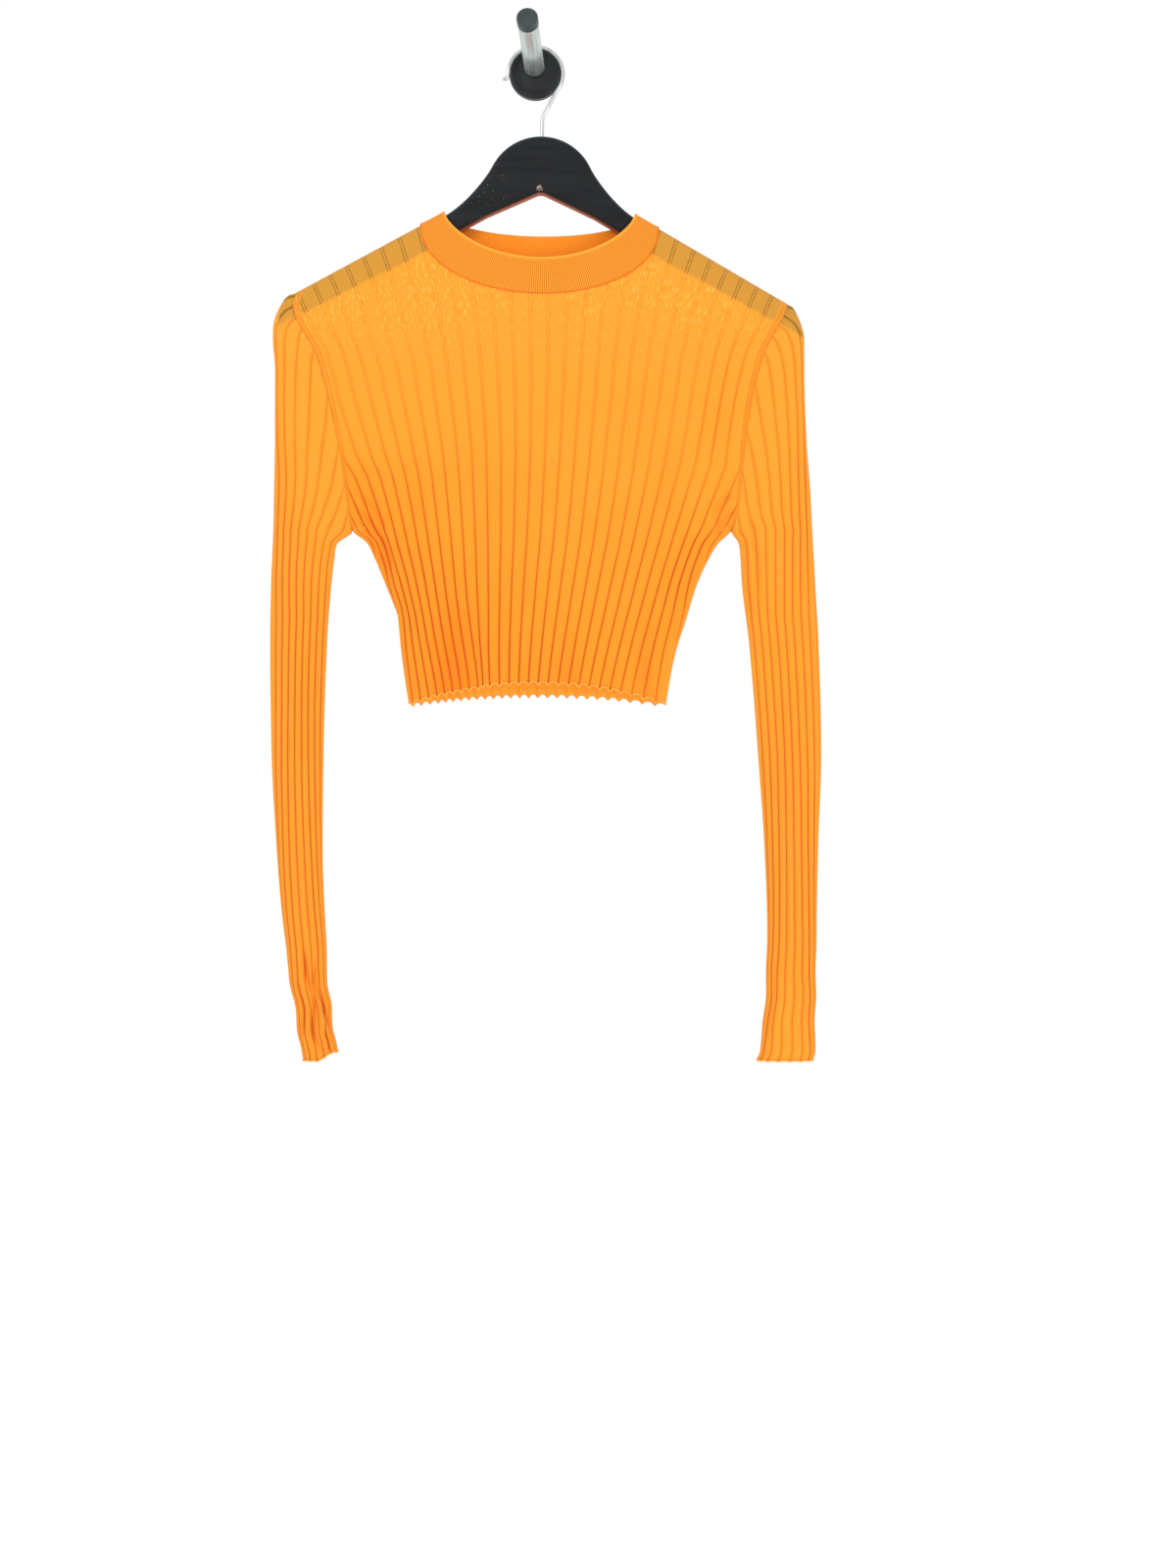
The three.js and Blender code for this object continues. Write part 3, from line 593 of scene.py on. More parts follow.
def body_panel(face):
    tops = body_tops[face]
    highest, lowest = tops.copy(), np.full(len(tops), HEM_SIDE)
    for _ in range(30):
        highest = shoulder_line(rib_at(kept_inside(body_ribs, highest), highest))
        lowest = hem_line(rib_at(kept_inside(body_ribs, lowest), lowest), face)
    tops = np.where(np.abs(tops - highest) < SNAP, highest, tops)
    z, starts = cut_off(rows_between(highest, lowest, BODY_ROWS), tops)
    rib = kept_inside(body_ribs[:, None], z)
    on_edge = np.sign(rib - body_ribs[:, None]) * -1.0
    x = rib_at(rib, z)
    if face < 0:
        x = x + pleat(rib, z)
    points, out = body_point(x, z, face)
    left, right = edges(z)
    beside = np.minimum(x - left, right - x)
    at_fold = (np.exp(-(beside / FOLD_TURN) ** 2) * pinched(z))[..., None]
    aside = np.where((x > NECK_X)[..., None], [1.0, 0, 0], [-1.0, 0, 0])
    out = mix(out, aside, at_fold)
    slope = (rib_at(rib + 0.05, z) - rib_at(rib - 0.05, z)) / 0.1
    pitch = slope / np.clip(np.abs(out[..., 1]), 0.45, 1)
    pitch = np.where(crest(x, z) > 0, slope, pitch)
    opened = stretch(pitch, RELAXED_BODY)
    lift = rib_relief(rib, pitch, opened, *BODY_FURROWS)
    pressed = sum(crease(points, *shape) for shape in BODY_CREASES[face])
    free = 1 - np.exp(-(beside / 3) ** 2) * (z < ARMPIT)
    sewn = smooth(beside / SEAM_FLAT) + (z < ARMPIT)
    lift = lift * (0.35 + 0.65 * free) * np.minimum(sewn, 1) + pressed * free
    at_hem = np.exp(-(z - hem_line(x, face)) / 5)
    lift = lift + HEM_FLARE * (scallop(rib) - 0.3) * at_hem
    points[..., 2] -= HEM_DIP * (scallop(rib) - 0.3) * at_hem
    # How deep creases and waves press in: the mask of the painted shade in their troughs.
    deep = np.clip(-(pressed + waves(x, z, face)) / 4, 0, 1)
    numbers = {"rib": rib, "down": -z, "pitch": pitch, "opened": opened,
               "deep": deep, "wood": hanger_shade_behind(x, z),
               "strip": np.where(z > ARMPIT, beside, 99.0) / mix(2.2, STRIP, smooth((z - ARMPIT) / 150))}
    outer, inner = two_faces(points, out, lift, face, 0.1)
    name = "front_knit" if face < 0 else "back_knit"
    piece = shell(name, outer, inner, numbers, on_edge, starts, flip=face > 0)
    print(name, len(piece.data.vertices), "points")
    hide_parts("front" if face < 0 else "back")
    reaches_hem = (on_edge[:, -1] == 0) | (np.abs(body_ribs) == BEYOND)
    return piece, outer[reaches_hem, -1]


front_knit, front_hem = body_panel(-1)
back_knit, back_hem = body_panel(1)

# %% [markdown]
# ## The sleeves' form
# A sleeve is a knitted tube with its fold outside. Below the armpit its section is a flat oval. Above
# it the tube opens into the armhole, where it is as deep as the body. Its ribs start on the armhole
# seam and fan out, most of them low down beside the armpit, and 19 ribs reach the cuff.

# %% Tables of the sleeves
SLEEVES = {
    -1: tracks([
        (-184.7, -194.7, -194.7, 9.5), (-188.0, -195.4, -201.8, 9.5), (-191.0, -196.2, -204.6, 9.5),
        (-194.6, -196.8, -207.0, 9.5), (-201.0, -195.9, -210.6, 9.5), (-207.5, -193.0, -212.8, 9.5),
        (-214.0, -189.8, -213.9, 9.5), (-222.0, -185.8, -214.0, 9.5), (-250.0, -173.2, -212.2, 9.5),
        (-300.0, -161.0, -212.4, 10.0), (-350.0, -153.2, -213.2, 10.0),
        (ARMPIT, -149.0, -213.8, 9.5), (-390.0, -161.0, -214.2, 9.2), (-425.0, -166.8, -215.6, 9.0),
        (-470.0, -170.2, -216.3, 8.5), (-560.0, -173.2, -215.2, 8.5), (-640.0, -174.0, -211.0, 8.5),
        (-700.0, -172.0, -206.0, 8.5), (-760.0, -168.0, -197.5, 9.0),
        (-812.0, -163.0, -191.0, 8.5)], "inner", "outer", "depth"),
    1: tracks([
        (-193.9, 206.0, 206.0, 9.5), (-196.5, 205.8, 209.6, 9.5), (-201.0, 204.6, 213.0, 9.5),
        (-207.5, 201.4, 216.2, 9.5), (-214.0, 197.6, 218.4, 9.5), (-222.0, 193.4, 220.0, 9.5),
        (-250.0, 181.4, 220.0, 9.5), (-300.0, 171.4, 221.6, 10.0), (-350.0, 166.4, 225.2, 10.0),
        (ARMPIT, 160.5, 226.6, 9.5), (-390.0, 166.6, 227.2, 9.2), (-425.0, 169.4, 229.2, 9.0),
        (-470.0, 175.0, 231.8, 8.5), (-560.0, 182.4, 234.0, 8.5), (-640.0, 188.0, 231.4, 8.5),
        (-700.0, 190.2, 230.2, 8.5), (-760.0, 188.8, 229.4, 9.0),
        (-812.0, 182.6, 228.2, 9.5)], "inner", "outer", "depth"),
}
CUFF = -812.0
SLEEVE_ROUND, CAP_ROUND, CAP_SHARE = 2.5, 3.0, 0.4
HALF_RIBS = 9.5
SEAM_RIBS = {-1: Track([-184.7, -200, -222, -243, -280, -298, -315, -345, -362, ARMPIT],
                       [0, 1.7, 3.9, 4.9, 5.7, 6.1, 6.6, 7.6, 8.5, HALF_RIBS]),
             1: Track([-193.9, -206, -222, -243, -280, -300, -316, -335, -364, ARMPIT],
                      [0, 1.5, 3.5, 4.9, 6.0, 6.5, 7.0, 7.6, 8.6, HALF_RIBS])}
# Where the sleeve widens into the armhole, its ribs stay close by the outer fold and spread at the seam.
FANNED = Track([-184, -260, -298, -338, ARMPIT, -450], [0.62, 0.7, 0.68, 0.52, 0.34, 0.0])

# %% [markdown]
# A rib keeps its share of the way round, so the section has to be measured along the cloth and not
# across. Each height's half section, from the outer fold to the seam, is walked in small steps, and
# points are laid at even shares of its length. That gives a sheet of heights by shares in which any
# point of the sleeve can be looked up.

# %% Lay out a sleeve's form by height and by share of the way round
SHARES = 301
FORM_STEP = 1.0
EASE_ROUND = 20.0
EDGE_FROM = 0.68


def eased(values, reach):
    """A row of values after a soft running mean over reach steps each way."""
    steps = np.arange(-3 * int(reach), 3 * int(reach) + 1)
    weights = np.exp(-(steps / reach) ** 2 / 2)
    padded = np.pad(values, len(steps) // 2, mode="edge")
    return np.convolve(padded, weights / weights.sum(), "valid")


def sleeve_form(side, face):
    """Points at even shares of each height's half section, and that half section's length.
    The armpit is a sudden corner in the edge, so shares are walked on a section without it."""
    table = SLEEVES[side]
    heights = np.append(np.arange(table["inner"].at[-1], CUFF, -FORM_STEP), CUFF)
    walk = (1 - np.cos(np.linspace(0, math.pi, 241))) / 2
    body_edge = BODY["left" if side < 0 else "right"](heights)
    edge = np.where(heights >= ARMPIT, body_edge, table["inner"](heights))
    soft = mix(edge, eased(edge, EASE_ROUND), smooth((-270 - heights) / 40))[:, None]
    outer = table["outer"](heights)[:, None]
    away = 1 - walk[None, :]
    still, _ = body_depth(np.full_like(soft, side), edge[:, None], heights[:, None], face)
    closed = 1 - smooth((heights[:, None] - ARMPIT) / FORM_EASE)
    full = BODY["front" if face < 0 else "back"](heights)[:, None] * SEAM_SHARE * (1 - closed)
    level = flat(edge, heights)[:, None]
    near = smooth((walk[None, :] - EDGE_FROM) / (1 - EDGE_FROM))
    round_end = (1 - away ** CAP_ROUND) ** (1 / CAP_ROUND)
    tube = table["depth"](heights)[:, None] * mix(CAP_SHARE, 1, closed) * (
        1 - np.abs(2 * away - 1) ** SLEEVE_ROUND) ** (1 / SLEEVE_ROUND)
    calm = np.hypot(full * level * round_end, tube)
    depth = np.hypot(mix(full, still, near) * level * round_end, tube)
    across = mix(soft, outer, away)
    length = np.cumsum(np.hypot(np.diff(across, axis=1, prepend=across[:, :1]),
                                np.diff(calm, axis=1, prepend=calm[:, :1])), 1)
    across = across + (edge[:, None] - soft) * near
    total = np.maximum(length[:, -1], 1e-6)
    form = np.zeros((len(heights), SHARES, 3))
    for k in range(len(heights)):
        at = np.linspace(0, total[k], SHARES)
        form[k, :, 0] = np.interp(at, length[k], across[k])
        form[k, :, 1] = HANG_PLANE + face * np.interp(at, length[k], depth[k])
        form[k, :, 2] = heights[k]
    return heights, form, total


def look_up(sheet, rows, columns):
    """A value between the points of a (heights, shares) sheet."""
    rows = np.clip(rows, 0, sheet.shape[0] - 1.001)
    columns = np.clip(columns, 0, sheet.shape[1] - 1.001)
    r, c = rows.astype(int), columns.astype(int)
    u, v = (rows - r)[..., None], (columns - c)[..., None]
    return mix(mix(sheet[r, c], sheet[r, c + 1], v), mix(sheet[r + 1, c], sheet[r + 1, c + 1], v), u)


# %% [markdown]
# ## Knit a sleeve
# The columns run from the armhole seam to the cuff, eight to a rib as in the body. The left cuff has
# been pushed up and twisted a little, and the right one hangs straight and flares at its edge. Those
# differences are a few creases and a small sideways drift, listed one by one.

# %% Creases and drifts of the sleeves
LEFT_CUFF = [
    ([(-189, -715), (-185, -741), (-179, -762), (-181, -780), (-179, -795), (-174, -812)], 1.8, -3.8),
    ([(-178, -722), (-178, -747), (-175, -757), (-172, -772), (-167, -784), (-164, -798)], 1.7, -3.4),
    ([(-182, -750), (-176, -766), (-174, -784), (-177, -800)], 1.7, 3.0),
    ([(-194, -740), (-189, -768), (-187, -800)], 1.5, -1.8),
    ([(-170, -788), (-168, -812)], 1.4, -2.4),
    ([(-184, -700), (-181, -724), (-179, -738)], 3.0, 1.4),
    ([(-186, -772), (-185, -790), (-188, -808)], 1.6, 1.4),
]
SLEEVE_CREASES = {
    -1: LEFT_CUFF + [([(-156, -384), (-160, -396), (-161, -410)], 2.4, -1.4),
                     ([(-185, -470), (-190, -520), (-186, -580)], 6, -0.7)],
    1: [([(167, -375), (171, -395), (172, -412), (177, -457)], 2.2, -1.3),
        ([(171, -364), (177, -380), (181, -400), (184, -440)], 2.4, -1.2),
        ([(205, -500), (203, -560), (208, -620)], 6, -0.7),
        ([(197, -730), (193, -765), (188, -800)], 2.4, -1.2),
        ([(216, -745), (215, -780), (216, -806)], 2.4, 0.9)],
}
# Sideways drift of a cuff: height, and how far it goes across.
DRIFTS = {-1: Track([CUFF, -800, -790, -770, -750, -735, -715, -690],
                    [1.6, 1.0, -0.4, 0.8, -1.4, -0.6, 0.3, 0]),
          1: Track([CUFF, -805, -795, -780, -760, -740, -715, -690],
                   [-0.8, 1.0, 0.6, -0.4, 0.5, -0.3, 0.2, 0])}
SLEEVE_ROWS = 230
SLEEVE_FURROWS = (1.35, 0.75)
CUFF_LIFT, LIFT_FROM, LIFT_RUN = 7.0, -178.0, 15.0
DRIFT_TOP = -690.0
CUFF_DIP, CUFF_FLARE = {-1: 0.7, 1: 0.8}, 0.6
# Ribs are narrower at the two folds than on the flat, by this share at each height.
CROWDING = {-1: Track([CUFF, -720, -650, -600, -520], [0.55, 0.46, 0.32, 0.16, 0.0]),
            1: Track([CUFF, -790, -730, -650, -560], [0.68, 0.58, 0.38, 0.18, 0.0])}


sleeve_ribs = every_rib(-HALF_RIBS, HALF_RIBS)


def sleeve(side):
    top = SLEEVES[side]["inner"].at[-1]
    count = len(sleeve_ribs)
    z = rows_between(np.full(count, top), np.full(count, CUFF), SLEEVE_ROWS)
    held = SEAM_RIBS[side](z)
    rib = np.clip(sleeve_ribs[:, None], -held, held)
    on_edge = np.sign(sleeve_ribs[:, None]) * (np.abs(sleeve_ribs[:, None]) >= held)
    joined = int((z[0] > ARMPIT).sum())
    front = (sleeve_ribs > 0)[:, None] & np.ones_like(z, bool)
    points, out = np.zeros(z.shape + (3,)), np.zeros(z.shape + (3,))
    pitch = np.zeros(z.shape)
    even = np.clip(np.abs(rib) / np.maximum(held, 1e-6), 0, 1)
    fanned = FANNED(z)
    spread = 1 - fanned + 2 * fanned * even
    even = even * (1 - fanned + fanned * even)
    crowding = CROWDING[side](z)
    share = (even - crowding * np.sin(2 * math.pi * even) / (2 * math.pi)) * (SHARES - 1)
    for face in (-1, 1):
        heights, form, total = sleeve_form(side, face)
        normal = unit(np.cross(np.gradient(form, axis=1), np.gradient(form, axis=0)) * (-face * side))
        rows = np.interp(-z, -heights, np.arange(len(heights)))
        here = front == (face < 0)
        points = np.where(here[..., None], look_up(form, rows, share), points)
        out = np.where(here[..., None], look_up(normal, rows, share), out)
        pitch = np.where(here, np.interp(-z, -heights, total) / np.maximum(held, 0.3), pitch)
    points[..., 2] = z
    facing = np.where(front, -1.0, 1.0)
    pole = np.exp(-(top - z) / 6)
    out = unit(mix(out, over_shoulder(points[..., 0], z, facing), pole[..., None]))
    pitch = np.clip(pitch * spread * (1 - crowding * np.cos(2 * math.pi * even)), 2.5, 14)
    opened = stretch(pitch, RELAXED_SLEEVE)
    beside = (held - np.abs(rib)) * pitch
    sewn = np.minimum(smooth(beside / SEAM_FLAT) + (z < ARMPIT - 12), 1)
    lift = rib_relief(rib, pitch, opened, *SLEEVE_FURROWS) * sewn
    shown = smooth((-(points[..., 1] - HANG_PLANE) + 1) / 3)
    pressed = np.zeros(z.shape)
    for line, width, depth in SLEEVE_CREASES[side]:
        pressed = pressed + crease(points, line, width, depth) * shown
        behind = [(x + 2.5 * side, high + 9) for x, high in line]
        pressed = pressed + crease(points, behind, width * 1.15, depth * 0.8) * (1 - shown)
    at_cuff = np.exp(-(z - CUFF) / 4)
    lift = lift + pressed + CUFF_FLARE * (scallop(rib) - 0.3) * at_cuff
    points[..., 0] += DRIFTS[side](z) * (z < DRIFT_TOP)
    points[..., 2] -= CUFF_DIP[side] * (scallop(rib) - 0.3) * at_cuff
    if side < 0:
        lifted = smooth((points[..., 0] - LIFT_FROM) / LIFT_RUN) * np.exp(-(z - CUFF) / 22)
        points[..., 2] += CUFF_LIFT * lifted
    # How deep the creases press in: the mask of the painted shade in their troughs.
    numbers = {"rib": rib, "down": -z, "pitch": pitch, "opened": opened,
               "deep": np.clip(-pressed / 3.6, 0, 1), "wood": hanger_shade_behind(points[..., 0], z),
               "strip": np.full(z.shape, 99.0)}
    outer, inner = two_faces(points, out, lift, facing, 0.05)
    node = "sleeve_left" if side < 0 else "sleeve_right"
    piece = shell(node + "_knit", outer, inner, numbers, on_edge, np.zeros(count, int), joined,
                  flip=side > 0)
    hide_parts(node)
    print(node, len(piece.data.vertices), "points")
    seam = np.concatenate([outer[0, joined:0:-1], outer[-1, :joined + 1]])
    return piece, outer[on_edge[:, -1] == 0, -1], seam


left_knit, left_cuff, left_seam = sleeve(-1)
right_knit, right_cuff, right_seam = sleeve(1)

# %% [markdown]
# ## The neckband
# The band is knitted double in a fine one-by-one rib, much finer than the body. Its ribs stand square
# to its edges, so both edges are walked for equal shares of their length, and a rib joins the points at
# equal shares. The band folds over at the top, which gives it a round rim.

# %% Knit the neckband
BAND_RIBS, BAND_COLUMNS = 264, 4
BAND_DEPTH = 0.34
BAND_LIFT, BAND_LEAN = 1.3, 0.08
BAND_PROFILE = [(0.0, 0.0), (0.06, 0.25), (0.14, 0.1), (0.3, 0.0), (0.45, 0.0), (0.6, 0.0),
                (0.75, 0.0), (0.88, 0.05), (0.94, 0.2), (0.98, 0.3), (1.0, 0.1),
                (1.005, -0.5), (1.0, -1.2), (0.97, -1.75), (0.93, -1.95), (0.8, -2.0),
                (0.6, -2.0), (0.4, -2.0), (0.2, -2.0), (0.03, -2.0), (-0.01, -1.5), (-0.015, -0.6)]


def band_edge(edge):
    """One edge of the band all the way round, as points at even shares of its length."""
    turn = np.linspace(-1, 1, 2001)
    loops = []
    for face in (-1, 1):
        x, z = neckline(turn, face, edge)
        across = 2 * (x - SHOULDER_LEFT) / (SHOULDER_RIGHT - SHOULDER_LEFT) - 1
        still, _ = body_depth(across, x, z, face)
        y = HANG_PLANE + face * still * flat(x, z) * (1 - BAND_LEAN * edge)
        loops.append(np.stack([x, y, z + BAND_LIFT * crest(x, z)], -1))
    loop = np.concatenate([loops[0][:-1], loops[1][::-1][:-1]])
    closed = np.concatenate([loop, loop[:1]])
    length = travelled(closed)[-1]
    count = BAND_RIBS * BAND_COLUMNS
    return laid_at(closed, np.arange(count) / count * length), length


def neckband():
    seam, seam_length = band_edge(0)
    top, top_length = band_edge(1)
    rise = top - seam
    round_way = np.roll(seam + top, -1, 0) - np.roll(seam + top, 1, 0)
    out = unit(np.cross(round_way, rise))
    face = np.sign(np.mean(seam[: len(seam) // 2, 1]) - HANG_PLANE)
    if np.mean(out[: len(out) // 2, 1]) * face < 0:
        out = -out
    for _ in range(12):
        out = unit(out + np.roll(out, 1, 0) + np.roll(out, -1, 0))
    rib = np.arange(len(seam)) / BAND_COLUMNS
    wave = 0.5 + 0.5 * np.cos(2 * math.pi * rib)
    rows = []
    for up, proud in BAND_PROFILE:
        fine = smooth(up / 0.12) * smooth((0.97 - up) / 0.06)
        side = 1 if proud > -1 else -1
        depth = proud - side * BAND_DEPTH * (1 - wave) * fine
        rows.append(seam + rise * up + out * np.asarray(depth)[:, None])
    grid = np.stack(rows, 1)
    across, down = grid.shape[:2]
    ups, proud = np.array(BAND_PROFILE).T
    numbers = {"rib": np.repeat(rib, down), "up": np.tile(ups, across),
               "inside": np.tile(proud < -1, across)}
    piece = as_object("neckband_knit", grid, ring_faces(across, down, True, flip=True), numbers)
    print("neckband", len(piece.data.vertices), "points; seam", round(seam_length), "top",
          round(top_length), "mm")
    return piece, seam, top, out


band_knit, band_seam, band_top, band_out = neckband()
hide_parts("neckband")

# %% [markdown]
# ## Seams and rolled edges
# The armhole is linked with a chain of stitches that stands up as a thin cord, and the edges of the hem
# and cuffs roll into a fine bead. Each is a thin tube that follows a line of points which the panels
# already have, so it can't come away from them.

# %% Lay a tube along a line of points
def tube_mesh(name, line, radius, sides=8, closed=False, down=None):
    """A tube that follows a line. Each point can carry a number for how far down the yarn it is."""
    count = len(line)
    radius = np.broadcast_to(np.asarray(radius, float), (count,))
    ahead = np.roll(line, -1, 0) - np.roll(line, 1, 0)
    if not closed:
        ahead[0], ahead[-1] = line[1] - line[0], line[-1] - line[-2]
    ahead = unit(ahead)
    across = np.cross(ahead[0], [0.0, 1.0, 0.0])
    if np.linalg.norm(across) < 0.1:
        across = np.cross(ahead[0], [1.0, 0.0, 0.0])
    frames = []
    for direction in ahead:
        across = unit(across - direction * across.dot(direction))
        frames.append((across, np.cross(direction, across)))
    angles = np.arange(sides) / sides * 2 * math.pi
    rings = np.stack([line[k] + radius[k] * (np.cos(angles)[:, None] * frames[k][0]
                                             + np.sin(angles)[:, None] * frames[k][1])
                      for k in range(count)])
    faces = ring_faces(count, sides, closed)
    if not closed:
        faces += [list(range(sides)), list(range((count - 1) * sides, count * sides))[::-1]]
    numbers = {} if down is None else {"down": np.repeat(down, sides)}
    return faced_out(as_object(name, rings, faces, numbers))


def faced_out(piece):
    """Turns every face of a closed mesh outwards."""
    shape = bmesh.new()
    shape.from_mesh(piece.data)
    bmesh.ops.recalc_face_normals(shape, faces=shape.faces)
    shape.to_mesh(piece.data)
    shape.free()
    return piece


# %% The hem's and the cuffs' rolled beads
HEM_BEAD, CUFF_BEAD, BEAD_DROP = 0.85, 0.7225, 0.2


def beaded(name, edge, radius):
    return tube_mesh(name, edge - [0, 0, BEAD_DROP], radius, closed=True, down=edge[:, 0])


hem_bead = beaded("hem_bead", np.concatenate([front_hem, back_hem[::-1]]), HEM_BEAD)
cuff_beads = [beaded("cuff_left_bead", left_cuff, CUFF_BEAD),
              beaded("cuff_right_bead", right_cuff, CUFF_BEAD)]

# %% [markdown]
# The armhole's cord runs from the underarm up the front, over the shoulder point and down the back. It
# follows the first point of every column of the sleeve, just proud of the cloth.

# %% The armhole and shoulder seams
def smoothed(line, rounds):
    line = line.copy()
    for _ in range(rounds):
        line[1:-1] = (line[:-2] + 2 * line[1:-1] + line[2:]) / 4
    return line


def evenly(line, step):
    length = travelled(line)[-1]
    return laid_at(line, np.linspace(0, length, max(int(length / step), 2)))


CORD, BAND_CORD = 0.5, 0.6


def cord(name, line):
    return tube_mesh(name, line, CORD, sides=6, down=travelled(line))


seam_cords = [cord("armhole_left_seam", evenly(smoothed(left_seam, 6), 1.6)),
              cord("armhole_right_seam", evenly(smoothed(right_seam, 6), 1.6))]
for name, xs in (("left", (SHOULDER_LEFT + 1, NECK_X - NECK_HALF[0] - 1)),
                 ("right", (NECK_X + NECK_HALF[0] + 1, SHOULDER_RIGHT - 1))):
    x = np.linspace(*xs, 60)
    line = np.stack([x, np.full(60, HANG_PLANE), shoulder_line(x) - 0.15], -1)
    seam_cords.append(cord(f"shoulder_{name}_seam", line))
round_band = band_seam + band_out * 0.1
round_band = evenly(np.concatenate([round_band, round_band[:1]]), 1.5)[:-1]
band_cord = tube_mesh("neckband_seam", round_band, BAND_CORD, sides=6, closed=True)

# %% [markdown]
# ## The hanger
# A flat hanger is sawn from a board, and its edges are rounded by a router. The outline is drawn once
# for the right half and mirrored. A filled curve with a bevel rounds the edge evenly all the way, even
# in the notch under the hump, and it is turned into a mesh so that it can carry paint.

# %% Draw the hanger's outline
WOOD_THICK, WOOD_EDGE = 12.0, 4.5
HUMP, HUMP_FOOT = 44.6, 20.0
NOTCH, NOTCH_SLOPE = 46.8, 0.455


def bezier(a, b, c, d, count):
    t = np.linspace(0, 1, count + 1)[:, None]
    a, b, c, d = (np.array(p, float) for p in (a, b, c, d))
    return a * (1 - t) ** 3 + 3 * b * t * (1 - t) ** 2 + 3 * c * t * t * (1 - t) + d * t ** 3


def arc(x, z, radius, start, end, count):
    angle = np.linspace(start, end, count + 1)
    return np.stack([x + radius * np.cos(angle), z + radius * np.sin(angle)], -1)


def hung(x, z, y=0.0):
    """Points given in the hanger's own axes, from the top of its hump."""
    c, s = math.cos(ROLL), math.sin(ROLL)
    return np.stack([APEX_X + x * c + z * s, HANG_PLANE + y + 0 * x, APEX_Z - x * s + z * c], -1)


def hanger_outline():
    def arm_top(x):
        return -ARM_TOP - ARM_SLOPE * x

    def arm_foot(x):
        return arm_top(x) - ARM_HEIGHT

    hump = arc(0, -HUMP, HUMP, math.pi / 2, math.asin(HUMP_FOOT / HUMP), 24)
    flank = bezier(hump[-1], hump[-1] + [5, -10], (62, arm_top(80) + 9.8), (80, arm_top(80)), 20)
    tip, corner = 210.5, 6.5
    corner_z = arm_foot(tip - corner) + corner * math.hypot(1, ARM_SLOPE)
    nose = bezier((tip - 14.5, arm_top(tip - 14.5)), (tip - 7.5, arm_top(tip - 7.5)),
                  (tip - 1, corner_z + 9), (tip, corner_z), 14)
    heel = arc(tip - corner, corner_z, corner, 0, -math.pi / 2 - math.atan(ARM_SLOPE), 12)
    elbow = (NOTCH - ARM_TOP - ARM_HEIGHT) / (ARM_SLOPE - NOTCH_SLOPE)
    right = np.concatenate([hump, flank[1:], nose, heel[1:],
                            [[elbow, arm_foot(elbow)], [2, -NOTCH - 2 * NOTCH_SLOPE]]])
    left = right[:0:-1] * [-1, 1]
    return np.concatenate([right, left])


def hanger_wood():
    curve = bpy.data.curves.new("wood_outline", "CURVE")
    curve.dimensions, curve.fill_mode = "2D", "BOTH"
    curve.extrude = (WOOD_THICK / 2 - WOOD_EDGE) * MM
    curve.bevel_depth, curve.bevel_resolution = WOOD_EDGE * MM, 6
    curve.offset = -WOOD_EDGE * MM
    outline = hanger_outline()
    spline = curve.splines.new("POLY")
    spline.points.add(len(outline) - 1)
    for point, (x, z) in zip(spline.points, outline):
        point.co = (x * MM, z * MM, 0, 1)
    spline.use_cyclic_u = True
    holder = linked("wood_outline", curve)
    bpy.context.view_layer.update()
    mesh = bpy.data.meshes.new_from_object(
        holder.evaluated_get(bpy.context.evaluated_depsgraph_get()))
    co = np.zeros(len(mesh.vertices) * 3, np.float32)
    mesh.vertices.foreach_get("co", co)
    co = co.reshape(-1, 3) / MM
    x, z, y = co[:, 0], co[:, 1], -co[:, 2]
    faces = [list(face.vertices) for face in mesh.polygons]
    bpy.data.objects.remove(holder)
    bpy.data.meshes.remove(mesh)
    piece = faced_out(as_object("hanger_wood", hung(x, z, y), faces, {"across": x, "above": z}))
    # Which way each face turns, up or down, for the hanger's painted bounce light and painted highlight.
    carry(piece.data, "turned", [vertex.normal.z for vertex in piece.data.vertices])
    return piece


hanger_piece = hanger_wood()
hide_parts("hanger_body")
print("hanger", len(hanger_piece.data.vertices), "points")

# %% [markdown]
# ## The hook
# One length of wire is bent over the peg in most of a circle, and its cut end is turned out a little.
# The bend is a smooth curve through the points where the bending tool held it.

# %% Bend the wire
WIRE = 1.6
HOOK_X, HOOK_Z, HOOK_R = -6.2, 51.5, 22.4


def through(points, steps):
    """A smooth curve through points, as a Catmull-Rom spline."""
    p = np.array(points, float)
    p = np.concatenate([[2 * p[0] - p[1]], p, [2 * p[-1] - p[-2]]])
    line = []
    for k in range(1, len(p) - 2):
        for t in np.arange(steps) / steps:
            line.append(0.5 * (2 * p[k] + (p[k + 1] - p[k - 1]) * t
                               + (2 * p[k - 1] - 5 * p[k] + 4 * p[k + 1] - p[k + 2]) * t * t
                               + (3 * p[k] - p[k - 1] - 3 * p[k + 1] + p[k + 2]) * t ** 3))
    return np.array(line + [p[-2]])


ring = [(HOOK_X + HOOK_R * math.cos(math.radians(a)), HOOK_Z + HOOK_R * math.sin(math.radians(a)))
        for a in range(-40, 181, 20)]
bends = through([(0, -24), (0, -8), (0, 6), (0.4, 16), (3.5, 22.5)] + ring
                + [(-29.8, 47.5), (-33.1, 47)], 7)
wire_line = hung(*bends.T)
wire_radius = np.full(len(wire_line), WIRE)
wire_radius[-1], wire_radius[-2] = WIRE * 0.55, WIRE * 0.9
hook_piece = tube_mesh("hook_wire", wire_line, wire_radius, sides=16)
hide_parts("hanger_hook")

# %% [markdown]
# ## The peg
# The peg is turned work: a round plate, a plated rod that slopes up from the wall so a hanger can't
# slide off, and a moulded cap. Each is a profile spun round an axis. The plate's rim and the cap's end
# are rounded in a few steps, because a sharp edge would catch no light.

# %% Spin a profile round the peg's axis
PEG_TILT, PEG_YAW = math.radians(-14.9), math.radians(-3.6)


